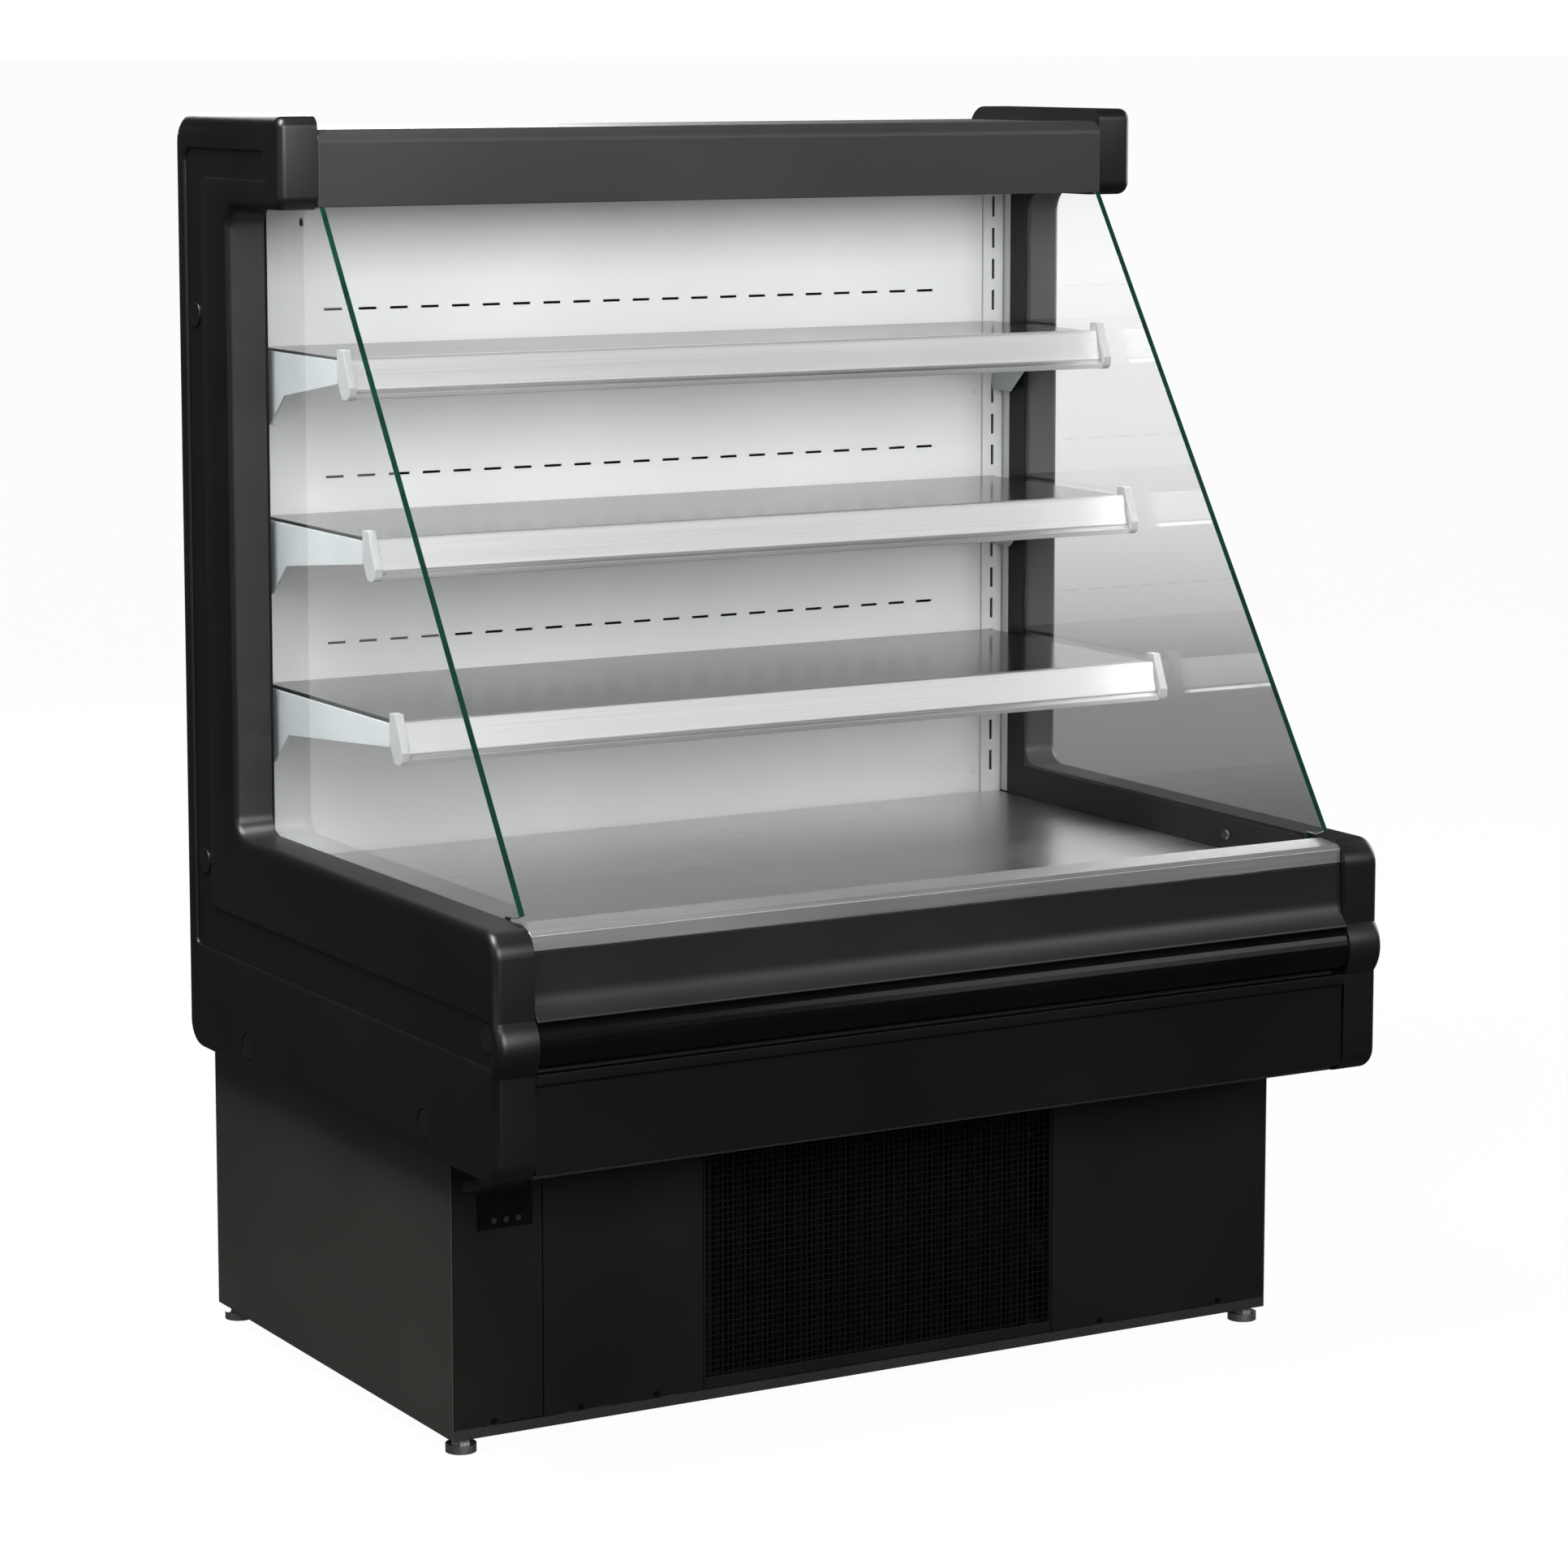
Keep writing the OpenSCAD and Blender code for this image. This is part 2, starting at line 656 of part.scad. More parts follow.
// Foam body: floor, front wall, rear wall and roof in one piece
module insulated_tank() {
    wall_y = front_y + 22;
    color("#e6e2d6") difference() {
        across(-inner_x, 2 * inner_x) polygon([
            [wall_y, tank_z], [wall_back_y, tank_z], [wall_back_y, header_top_z - header_skin_t],
            [header_y + 21, header_top_z - header_skin_t], [header_y + 21, roof_z],
            [wall_front_y, roof_z], [wall_front_y, sump_z], [wall_y + 18, sump_z],
            [wall_y + 18, deck_z + 8], [wall_y, deck_z + 8]
        ]);
        for (x = [riser_x, riser_x + 60])
            translate([x, evap_y + evap_t / 2, tank_z - 1]) cylinder(r = 9, h = floor_t + 2);
        translate([pan_x, pan_y + 60, tank_z - 1]) cylinder(r = 14, h = floor_t + 2);
    }
}

module rear_panel() {
    color("#3a3a3a")
        block(-inner_x, inner_x, wall_back_y, skin_y, tank_z, header_top_z - header_skin_t);
}

// Perforated air panel behind the shelves, and the ceiling that it turns into
module duct_panel() {
    slot_l = 20;
    pitch = 35.5;
    panel_x = upright_x - 0.5;
    n = 2 * floor((panel_x - 50) / pitch) + 1;
    t = duct_sheet_t;
    z0 = deck_z - 17;
    color("#d4d6d6") difference() {
        union() {
            block(-panel_x, panel_x, duct_y, duct_y + t, z0, duct_top_z);
            block(-panel_x, panel_x, duct_y - 12, duct_y, z0, z0 + 1.5);
            block(-panel_x, panel_x, header_y + 65, duct_y + t, duct_top_z, duct_top_z + t);
        }
        for (z = shelf_z, i = [0:n - 1])
            block((i - n / 2) * pitch + 7.75, (i - n / 2) * pitch + 7.75 + slot_l,
                duct_y - 1, duct_y + t + 1, z + 34, z + 36.6);
    }
}

module side_liners() {
    color("#cfd2d2") both_sides()
        block(inner_x - 1, inner_x, glass_y + 0.5, wall_front_y, deck_z, duct_top_z);
}

module uprights() {
    slot_w = 3.4;
    slot_z0 = shelf_z[0] - slot_below;
    below = floor((slot_z0 - deck_z - 30) / slot_pitch);
    above = floor((duct_top_z - 20 - slot_z0) / slot_pitch);
    color("#c6c9c9") both_sides() difference() {
        block(upright_x, upright_x + upright_w, upright_y, wall_front_y, deck_z - 17, duct_top_z);
        block(upright_x + web_t, upright_x + upright_w - web_t, upright_y + web_t,
            wall_front_y + 1, deck_z - 18, duct_top_z + 1);
        for (k = [-below:above])
            block(slot_x - slot_w / 2, slot_x + slot_w / 2, upright_y - 1, upright_y + web_t + 1,
                slot_z0 + k * slot_pitch - slot_l / 2, slot_z0 + k * slot_pitch + slot_l / 2);
    }
}

// Place of a shelf's rail on the Y axis
function rail_y(i) = duct_y - shelf_d[i];

// Sheet shelf with its four edges folded down
module shelf(i) {
    t = shelf_sheet_t;
    y0 = rail_y(i) + 10;
    y1 = upright_y - 6;
    z = shelf_z[i];
    color("#a9abab") difference() {
        block(-shelf_x, shelf_x, y0, y1, z - edge_h, z);
        block(-shelf_x + t, shelf_x - t, y0 + t, y1 - t, z - edge_h - 1, z - t);
    }
}
module shelf_bottom() { shelf(0); }
module shelf_middle() { shelf(1); }
module shelf_top() { shelf(2); }

// Ticket rail: face with a crease half-way down, groove and lower lip
module price_rail(i) {
    color("#c9cbcc") translate([0, rail_y(i), shelf_z[i]]) across(-shelf_x, 2 * shelf_x)
        polygon([[10, 1], [0, 1], [-1.5, -3], [-4.2, -15], [-9, -28], [-8.5, -31], [-12, -34],
            [-12, -39], [-9.5, -39], [-9.5, -35], [-6, -32.5], [-6.5, -29], [-1.8, -15.6],
            [1, -3.5], [2, -1.5], [10, -1.5]]);
}
module price_rail_bottom() { price_rail(0); }
module price_rail_middle() { price_rail(1); }
module price_rail_top() { price_rail(2); }

module rail_caps(i) {
    color("#c8cccb") translate([0, rail_y(i), shelf_z[i]]) both_sides() across(shelf_x, rail_cap_t)
        polygon(rounded([[14, 9, 2], [0, 9, 2], [-3, 0, 0], [-15, -27, 4], [-14, -37, 5],
            [-8, -40, 3], [3, -40, 2], [9, -30, 0], [14, -20, 2]]));
}
module rail_caps_bottom() { rail_caps(0); }
module rail_caps_middle() { rail_caps(1); }
module rail_caps_top() { rail_caps(2); }

// Cantilever plates with a ledge under the shelf and a hook whose round seat sits in a slot
module brackets(i) {
    t = 2.4;
    y1 = upright_y - 0.3;
    y0 = rail_y(i) + 16;
    z = shelf_z[i];
    ledge_t = 1.5;
    seat_r = 2.15;
    color("#c4c8c8") both_sides() {
        difference() {
            across(slot_x - t / 2, t) polygon([
                [y0, z - 2], [y0, z - 25], [y1 - 72, z - 45], [y1 - 36, z - 77], [y1, z - 77],
                [y1, z - seat_h], [y1 + 2 * seat_r, z - seat_h], [y1 + 2 * seat_r, z - 28.7],
                [y1 + 8.3, z - 28.7], [y1 + 8.3, z - 8], [y1, z - 8], [y1 - 3, z - 2]
            ]);
            translate([slot_x - t / 2 - 1, y1 + seat_r, z - seat_h]) rotate([0, 90, 0])
                cylinder(r = seat_r, h = t + 2);
        }
        block(slot_x - 18, slot_x - t / 2, y0, y1 - 8, z - edge_h - ledge_t, z - edge_h);
    }
}
module brackets_bottom() { brackets(0); }
module brackets_middle() { brackets(1); }
module brackets_top() { brackets(2); }

module deck_tray() {
    t = 1.2;
    y0 = front_y + 53;
    y1 = upright_y - 1;
    color("#9b9c9a") difference() {
        block(-deck_x, deck_x, y0, y1, deck_z - 14.8, deck_z);
        block(-deck_x + t, deck_x - t, y0 + t, y1 - t, deck_z - 16, deck_z - t);
    }
}

// Air-return nosing: face, flat top, slotted back and a ledge under the deck
module front_lip() {
    slot_n = floor((2 * front_x - 120) / 70);
    color("#bdbbbb") translate([0, front_y, 0]) difference() {
        across(-front_x, 2 * front_x) polygon([
            [9, deck_z + 15], [9, deck_z + 29], [13, deck_z + 33], [42, deck_z + 36],
            [48, deck_z + 33], [52, deck_z], [52, deck_z - 15], [62, deck_z - 15],
            [62, deck_z - 17], [50, deck_z - 17], [50, deck_z], [46.3, deck_z + 31.6],
            [42, deck_z + 34], [13.8, deck_z + 31], [11, deck_z + 28.2], [11, deck_z + 15]
        ]);
        for (i = [0:slot_n - 1])
            block((i - slot_n / 2) * 70 + 5, (i - slot_n / 2) * 70 + 65, 44, 56,
                deck_z + 8, deck_z + 22);
    }
}

module upper_front_panel() {
    z = bumper_z + bumper_h + 0.5;
    color("#302e2d") translate([0, front_y, 0]) across(-front_x, 2 * front_x) polygon([
        [9, lip_z - 0.5], [8, lip_z - 37], [5, lip_z - 50], [-4, z + 2], [-4, z], [-1, z], [-1, z + 3],
        [7, lip_z - 51], [10, lip_z - 37], [11, lip_z - 0.5]
    ]);
}

module bumper() {
    z1 = bumper_z + bumper_h;
    outer = bow(front_y + 2, bumper_z, z1, 10);
    inner = bow(front_y + 2, bumper_z + 3.5, z1 - 3.5, 6.5);
    color("#0f0f0f") across(-front_x, 2 * front_x)
        polygon(concat(outer, [for (i = [len(inner) - 1:-1:0]) inner[i]]));
}

module lower_front_panel() {
    z0 = tank_z + 8;
    z1 = bumper_z - 5;
    color("#262523") translate([0, front_y, 0]) across(-front_x, 2 * front_x) polygon([
        [2, z0], [2, z1 - 12], [-1, z1 - 10], [-1, z1], [10, z1], [10, z1 - 2], [1, z1 - 2],
        [1, z1 - 9], [4, z1 - 11], [4, z0 + 2], [22, z0 + 2], [22, z0]
    ]);
}

// Side glass: slanted front edge from the header to the sill, upright rear edge
module side_glass() {
    color([0.75, 0.9, 0.86, 0.35]) across(glass_x, glass_t) polygon([
        [front_y + 31, sill_z + 7], [front_y + 44, sill_z + 2.5], [front_y + 60, sill_z + 2.5],
        [front_y + 60, deck_z - 2], [glass_y, deck_z - 2], [glass_y, header_z], [header_y, header_z]
    ]);
}
module glass_left() { mirror([1, 0, 0]) side_glass(); }
module glass_right() { side_glass(); }

module evaporator() {
    pitch = 9;
    fin = 1;
    h = 110;
    l = comb_length(evap_w, pitch, fin);
    z0 = sump_z + evap_stand;
    color("#a5a8a8") {
        translate([0, evap_y + evap_t / 2, z0]) linear_extrude(h)
            polygon(comb(evap_w, evap_t, 30, pitch, fin));
        for (x = [-l / 2 - 2, l / 2]) block(x, x + 2, evap_y, evap_y + evap_t, sump_z, z0 + h);
    }
}

module evaporator_fan_mount() {
    color("#8c8f8f") translate([0, evap_mount_y, evap_z]) rotate([-90, 0, 0]) {
        difference() {
            translate([-inner_x + 12, -deck_z + 19 + evap_z, 0]) cube([2 * inner_x - 24,
                deck_z - 19 - sump_z, 1.5]);
            for (s = [-1, 1]) translate([s * evap_fan_x, 0, -1]) cylinder(r = evap_fan_r + 4, h = 4);
        }
        for (s = [-1, 1]) translate([s * evap_fan_x, 0, 1.5]) motor(evap_fan_r + 2, 24, 36, 32, 24);
    }
}

module evaporator_fan(side) {
    color("#d8d8d4") translate([side * evap_fan_x, evap_mount_y + 6, evap_z]) rotate([-90, 0, 0])
        fan(evap_fan_r, 16, 20, 5, 24);
}
module evaporator_fan_left() { evaporator_fan(-1); }
module evaporator_fan_right() { evaporator_fan(1); }

base_frame();
base_side_left();
base_side_right();
rear_grille();
controller_panel();
service_panel();
grille_panel();
grille_mesh();
right_panel();
panel_screws();
controller();
key_set();
key_up();
key_down();
foot_front_left();
foot_front_right();
foot_rear_left();
foot_rear_right();
compressor();
condenser_coil();
condenser_fan();
condenser_fan_mount();
refrigerant_pipes();
condensate_pan();
electrical_box();
power_inlet();
left_cheek();
right_cheek();
screw_caps();
header_front();
header_top();
header_lamp();
insulated_tank();
rear_panel();
duct_panel();
side_liners();
uprights();
shelf_bottom();
shelf_middle();
shelf_top();
price_rail_bottom();
price_rail_middle();
price_rail_top();
rail_caps_bottom();
rail_caps_middle();
rail_caps_top();
brackets_bottom();
brackets_middle();
brackets_top();
deck_tray();
front_lip();
upper_front_panel();
bumper();
lower_front_panel();
glass_left();
glass_right();
evaporator();
evaporator_fan_mount();
evaporator_fan_left();
evaporator_fan_right();
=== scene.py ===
import math

import bmesh
import bpy
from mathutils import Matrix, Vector


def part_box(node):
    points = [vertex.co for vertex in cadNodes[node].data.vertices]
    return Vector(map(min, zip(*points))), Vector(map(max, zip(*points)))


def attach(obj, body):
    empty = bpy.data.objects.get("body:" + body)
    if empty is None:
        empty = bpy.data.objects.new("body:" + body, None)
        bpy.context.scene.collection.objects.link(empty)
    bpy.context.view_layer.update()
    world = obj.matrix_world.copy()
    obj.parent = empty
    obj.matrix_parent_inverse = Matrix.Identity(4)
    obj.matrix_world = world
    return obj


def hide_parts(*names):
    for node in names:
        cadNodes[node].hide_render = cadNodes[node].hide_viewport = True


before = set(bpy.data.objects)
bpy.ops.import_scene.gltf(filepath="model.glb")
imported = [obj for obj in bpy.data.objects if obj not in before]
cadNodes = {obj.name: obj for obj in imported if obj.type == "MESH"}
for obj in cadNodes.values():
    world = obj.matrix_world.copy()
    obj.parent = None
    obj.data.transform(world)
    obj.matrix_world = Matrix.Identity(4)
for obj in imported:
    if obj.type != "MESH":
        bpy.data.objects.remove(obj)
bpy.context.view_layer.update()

scene = bpy.context.scene
shelfNames = ["bottom", "middle", "top"]


def mm(value):
    return value / 1000.0


def hexColour(code):
    # sRGB hex to the linear colour that the shader wants
    parts = [int(code[i:i + 2], 16) / 255 for i in (1, 3, 5)]
    return tuple(p / 12.92 if p <= 0.04045 else ((p + 0.055) / 1.055) ** 2.4 for p in parts) + (1.0,)


def addNode(tree, kind, settings=None, links=None):
    node = tree.nodes.new("ShaderNode" + kind)
    for key, value in (settings or {}).items():
        if isinstance(key, int) or key in node.inputs.keys():
            node.inputs[key].default_value = value
        else:
            setattr(node, key, value)
    for key, socket in (links or {}).items():
        tree.links.new(socket, node.inputs[key])
    return node


def blankMaterial(name):
    material = bpy.data.materials.new(name)
    material.use_nodes = True
    material.node_tree.nodes.clear()
    return material, material.node_tree


def deselectAll():
    if bpy.context.mode != "OBJECT":
        bpy.ops.object.mode_set(mode="OBJECT")
    bpy.ops.object.select_all(action="DESELECT")


def pick(piece):
    deselectAll()
    piece.select_set(True)
    bpy.context.view_layer.objects.active = piece


def coatedFinish(name, look):
    # paint, powder coat or moulded plastic: two close tones in slow patches, a fine skin
    # texture in the bump, and a roughness that wanders a little
    material, tree = blankMaterial(name)
    where = addNode(tree, "TexCoord").outputs["Object"]
    patches = addNode(tree, "TexNoise", {"Scale": 1 / mm(look["patch"]), "Detail": 3.0},
                      {"Vector": where})
    grain = addNode(tree, "TexNoise", {"Scale": 1 / mm(look["grain"]), "Detail": 2.0}, {"Vector": where})
    tone = addNode(tree, "ValToRGB", links={"Fac": patches.outputs["Fac"]})
    tone.color_ramp.elements[0].position = 0.3
    tone.color_ramp.elements[0].color = hexColour(look["dark"])
    tone.color_ramp.elements[1].position = 0.7
    tone.color_ramp.elements[1].color = hexColour(look["light"])
    rough = addNode(tree, "MapRange", {"To Min": look["rough"][0], "To Max": look["rough"][1]},
                    {"Value": patches.outputs["Fac"]})
    skin = addNode(tree, "Bump", {"Strength": look.get("strength", 0.4), "Distance": mm(look["depth"])},
                   {"Height": grain.outputs["Fac"]})
    shader = addNode(tree, "BsdfPrincipled",
                     {"IOR": look["ior"], "Specular IOR Level": look.get("specular", 0.5)},
                     {"Base Color": tone.outputs["Color"], "Roughness": rough.outputs["Result"],
                      "Normal": skin.outputs["Normal"]})
    addNode(tree, "OutputMaterial", links={"Surface": shader.outputs["BSDF"]})
    return material


def brushedFinish(name, look):
    # rolled, drawn or brushed metal: long fine streaks along one axis
    material, tree = blankMaterial(name)
    where = addNode(tree, "TexCoord").outputs["Object"]
    across, along = 1 / mm(look["line"]), 1 / mm(look["length"])
    scale = [across, across, across]
    scale["xyz".index(look.get("axis", "x"))] = along
    stretched = addNode(tree, "Mapping", {"Scale": scale}, {"Vector": where}).outputs["Vector"]
    streaks = addNode(tree, "TexNoise", {"Scale": 1.0, "Detail": 4.0}, {"Vector": stretched})
    cloud = addNode(tree, "TexNoise", {"Scale": 1 / mm(look["patch"]), "Detail": 2.0},
                    {"Vector": where})
    both = addNode(tree, "Math", {"operation": "ADD"},
                   {0: streaks.outputs["Fac"], 1: cloud.outputs["Fac"]})
    tone = addNode(tree, "ValToRGB", links={"Fac": streaks.outputs["Fac"]})
    tone.color_ramp.elements[0].position = 0.3
    tone.color_ramp.elements[0].color = hexColour(look["dark"])
    tone.color_ramp.elements[1].position = 0.7
    tone.color_ramp.elements[1].color = hexColour(look["light"])
    rough = addNode(tree, "MapRange", {"From Min": 0.6, "From Max": 1.4, "To Min": look["rough"][0],
                                       "To Max": look["rough"][1]}, {"Value": both.outputs["Value"]})
    lines = addNode(tree, "Bump", {"Strength": look.get("strength", 0.3), "Distance": mm(look["depth"])},
                    {"Height": streaks.outputs["Fac"]})
    shader = addNode(tree, "BsdfPrincipled", {"Metallic": 1.0},
                     {"Base Color": tone.outputs["Color"], "Roughness": rough.outputs["Result"],
                      "Normal": lines.outputs["Normal"]})
    addNode(tree, "OutputMaterial", links={"Surface": shader.outputs["BSDF"]})
    return material


print("materials")

# Moulded ABS end panels: satin black with a fine spark-eroded grain, drawn 2 mm coarse to show
mouldedAbs = coatedFinish("mouldedAbs", {
    "dark": "#0b0a0a", "light": "#100f0f", "patch": 160, "grain": 1.6, "depth": 0.02,
    "rough": (0.3, 0.4), "ior": 1.54, "strength": 0.25, "specular": 0.4})
# Turned ABS caps pushed into the end panels: a little shinier than the panels
capAbs = coatedFinish("capAbs", {
    "dark": "#0c0c0c", "light": "#131313", "patch": 30, "grain": 0.8, "depth": 0.01,
    "rough": (0.28, 0.36), "ior": 1.54, "strength": 0.2})
# Powder coat over folded sheet: warm black, soft orange peel about 2 mm across
powderBlack = coatedFinish("powderBlack", {
    "dark": "#32302d", "light": "#3a3835", "patch": 220, "grain": 2.2, "depth": 0.03,
    "rough": (0.46, 0.58), "ior": 1.5, "strength": 0.3, "specular": 0.35})
# darker copy of the same powder coat on the base's front panels: painted shade for the shadow under the
# case's overhang
powderFrontShaded = coatedFinish("powderFrontShaded", {
    "dark": "#100f0e", "light": "#171614", "patch": 240, "grain": 2.2, "depth": 0.03,
    "rough": (0.34, 0.44), "ior": 1.5, "strength": 0.3, "specular": 0.3})
# Satin stove enamel on the header and the front: smoother, so it takes long soft gradients
enamelDark = coatedFinish("enamelDark", {
    "dark": "#191817", "light": "#1f1e1c", "patch": 300, "grain": 3.0, "depth": 0.02,
    "rough": (0.28, 0.36), "ior": 1.5, "strength": 0.2, "specular": 0.35})
# lighter copy of the same enamel on the header: painted light for the top light that falls on the header
enamelHeaderLit = coatedFinish("enamelHeaderLit", {
    "dark": "#272625", "light": "#2e2d2c", "patch": 300, "grain": 3.0, "depth": 0.02,
    "rough": (0.34, 0.42), "ior": 1.5, "strength": 0.2, "specular": 0.35})
# Darker, more matt copy of the same enamel on the panel under the bumper: its darker tone is painted
# shade for the bumper's shadow
enamelLowShaded = coatedFinish("enamelLowShaded", {
    "dark": "#090808", "light": "#0e0d0d", "patch": 300, "grain": 3.0, "depth": 0.02,
    "rough": (0.34, 0.44), "ior": 1.5, "strength": 0.2, "specular": 0.25})
frameCoat = coatedFinish("frameCoat", {
    "dark": "#1b1b1b", "light": "#242424", "patch": 120, "grain": 1.6, "depth": 0.04,
    "rough": (0.5, 0.62), "ior": 1.5})
rearCoat = coatedFinish("rearCoat", {
    "dark": "#2e2d2c", "light": "#363534", "patch": 260, "grain": 2.2, "depth": 0.03,
    "rough": (0.45, 0.56), "ior": 1.5})
# Black butyl and foil bands that bed the panes: matt, hardly any shine
glazingTape = coatedFinish("glazingTape", {
    "dark": "#080909", "light": "#0c0d0d", "patch": 60, "grain": 1.5, "depth": 0.02,
    "rough": (0.4, 0.5), "ior": 1.45, "strength": 0.2, "specular": 0.3})
# Light grey polyester paint inside the case: pale, satin, nearly smooth
paleGrey = coatedFinish("paleGrey", {
    "dark": "#c8caca", "light": "#d1d2d2", "patch": 260, "grain": 3.0, "depth": 0.012,
    "rough": (0.32, 0.42), "ior": 1.5, "strength": 0.15})
# darker, bluer copy of the pale grey paint on the shelf brackets: painted shade for the shadow under the
# shelves
bracketGreyShaded = coatedFinish("bracketGreyShaded", {
    "dark": "#999fa0", "light": "#a5aaab", "patch": 90, "grain": 2.0, "depth": 0.015,
    "rough": (0.38, 0.48), "ior": 1.5, "strength": 0.2})
capGrey = coatedFinish("capGrey", {
    "dark": "#868887", "light": "#929493", "patch": 40, "grain": 1.0, "depth": 0.015,
    "rough": (0.4, 0.5), "ior": 1.53, "strength": 0.2})
# Black dip coat over welded wire
dipCoat = coatedFinish("dipCoat", {
    "dark": "#0a0a0a", "light": "#100f0f", "patch": 18, "grain": 0.8, "depth": 0.03,
    "rough": (0.45, 0.56), "ior": 1.5, "specular": 0.2})
# Extruded PVC bumper: gloss black, faint die lines left along it
bumperPvc = coatedFinish("bumperPvc", {
    "dark": "#060606", "light": "#0a0a0a", "patch": 120, "grain": 2.4, "depth": 0.01,
    "rough": (0.13, 0.19), "ior": 1.53, "strength": 0.1, "specular": 0.16})
glossAbs = coatedFinish("glossAbs", {
    "dark": "#060606", "light": "#0a0a0a", "patch": 20, "grain": 0.8, "depth": 0.006,
    "rough": (0.16, 0.24), "ior": 1.54, "strength": 0.15, "specular": 0.25})
keyRubber = coatedFinish("keyRubber", {
    "dark": "#0c0c0c", "light": "#121212", "patch": 6, "grain": 0.4, "depth": 0.01,
    "rough": (0.55, 0.65), "ior": 1.5})
foamSkin = coatedFinish("foamSkin", {
    "dark": "#c9c6bc", "light": "#d6d3c9", "patch": 60, "grain": 2.0, "depth": 0.1,
    "rough": (0.5, 0.65), "ior": 1.5})
machineEnamel = coatedFinish("machineEnamel", {
    "dark": "#0e0e0e", "light": "#161616", "patch": 60, "grain": 2.0, "depth": 0.05,
    "rough": (0.25, 0.36), "ior": 1.5})
fanPlastic = coatedFinish("fanPlastic", {
    "dark": "#a9aaa7", "light": "#b6b7b4", "patch": 40, "grain": 1.0, "depth": 0.01,
    "rough": (0.42, 0.52), "ior": 1.5})
boxPlastic = coatedFinish("boxPlastic", {
    "dark": "#9fa2a0", "light": "#abaeac", "patch": 60, "grain": 1.2, "depth": 0.02,
    "rough": (0.45, 0.55), "ior": 1.5})
# Satin stainless deck: short brush lines across the case
satinStainless = brushedFinish("satinStainless", {
    "dark": "#cdcdcb", "light": "#dadad8", "line": 1.4, "length": 120, "patch": 180, "depth": 0.006,
    "rough": (0.26, 0.34), "strength": 0.12})
# Bright-rolled stainless shelves: close to a mirror, very faint roll lines
brightStainless = brushedFinish("brightStainless", {
    "dark": "#626262", "light": "#6c6c6b", "line": 1.2, "length": 200, "patch": 160, "depth": 0.003,
    "rough": (0.14, 0.2), "strength": 0.06})
# Extruded aluminium ticket rails and nosing: matt anodised with die lines along the length
anodised = brushedFinish("anodised", {
    "dark": "#b0b0b1", "light": "#bdbdbe", "line": 1.0, "length": 400, "patch": 220, "depth": 0.008,
    "rough": (0.38, 0.46), "strength": 0.15})
lipAnodised = brushedFinish("lipAnodised", {
    "dark": "#c9c8c7", "light": "#d4d3d2", "line": 1.2, "length": 400, "patch": 220, "depth": 0.01,
    "rough": (0.36, 0.46), "strength": 0.15})
# Zinc plate on the feet: dull bluish silver with small spangles
zincPlate = brushedFinish("zincPlate", {
    "dark": "#a2a4a2", "light": "#bdbfbc", "line": 1.5, "length": 1.5, "patch": 12, "depth": 0.01,
    "rough": (0.3, 0.46), "strength": 0.2})
blackZinc = brushedFinish("blackZinc", {
    "dark": "#1b1b1c", "light": "#2a2a2b", "line": 0.6, "length": 0.6, "patch": 6, "depth": 0.01,
    "rough": (0.36, 0.5), "strength": 0.2})
millFins = brushedFinish("millFins", {
    "dark": "#9a9c9d", "light": "#b5b7b8", "line": 1.0, "length": 40, "patch": 60, "depth": 0.02,
    "rough": (0.3, 0.45), "axis": "z"})
# Hot-dip galvanised sheet: spangles about 8 mm across
galvanisedSheet = brushedFinish("galvanisedSheet", {
    "dark": "#7f8384", "light": "#a6aaab", "line": 8.0, "length": 8.0, "patch": 40, "depth": 0.01,
    "rough": (0.34, 0.5)})
drawnCopper = brushedFinish("drawnCopper", {
    "dark": "#a5613f", "light": "#c47d55", "line": 2.0, "length": 60, "patch": 30, "depth": 0.01,
    "rough": (0.26, 0.42)})


def clearGlass(name):
    # Tempered float glass: clear and neutral, lamps shine through it, and a very slow waviness
    # from the tempering rollers. Its IOR is a little under float glass's 1.52, because these
    # panes reflect weakly
    material, tree = blankMaterial(name)
    where = addNode(tree, "TexCoord").outputs["Object"]
    waves = addNode(tree, "TexNoise", {"Scale": 1 / mm(220), "Detail": 1.0}, {"Vector": where})
    bend = addNode(tree, "Bump", {"Strength": 0.05, "Distance": mm(0.02)},
                   {"Height": waves.outputs["Fac"]})
    glass = addNode(tree, "BsdfGlass",
                    {"Color": hexColour("#fefefe"), "Roughness": 0.0, "IOR": 1.45},
                    {"Normal": bend.outputs["Normal"]})
    through = addNode(tree, "BsdfTransparent", {"Color": hexColour("#fcfdfd")})
    ray = addNode(tree, "LightPath")
    mixed = addNode(tree, "MixShader", links={0: ray.outputs["Is Shadow Ray"], 1: glass.outputs["BSDF"],
                                              2: through.outputs["BSDF"]})
    addNode(tree, "OutputMaterial", links={"Surface": mixed.outputs["Shader"]})
    return material


def glassEdge(name):
    # Ground and polished edge of the same glass: light that travels along the pane leaves it
    # deep bottle green
    material, tree = blankMaterial(name)
    where = addNode(tree, "TexCoord").outputs["Object"]
    streaks = addNode(tree, "TexNoise", {"Scale": 1 / mm(30), "Detail": 2.0}, {"Vector": where})
    tone = addNode(tree, "ValToRGB", links={"Fac": streaks.outputs["Fac"]})
    tone.color_ramp.elements[0].color = hexColour("#05160f")
    tone.color_ramp.elements[1].color = hexColour("#0e3529")
    shader = addNode(tree, "BsdfPrincipled", {"Roughness": 0.16, "IOR": 1.52},
                     {"Base Color": tone.outputs["Color"]})
    addNode(tree, "OutputMaterial", links={"Surface": shader.outputs["BSDF"]})
    return material


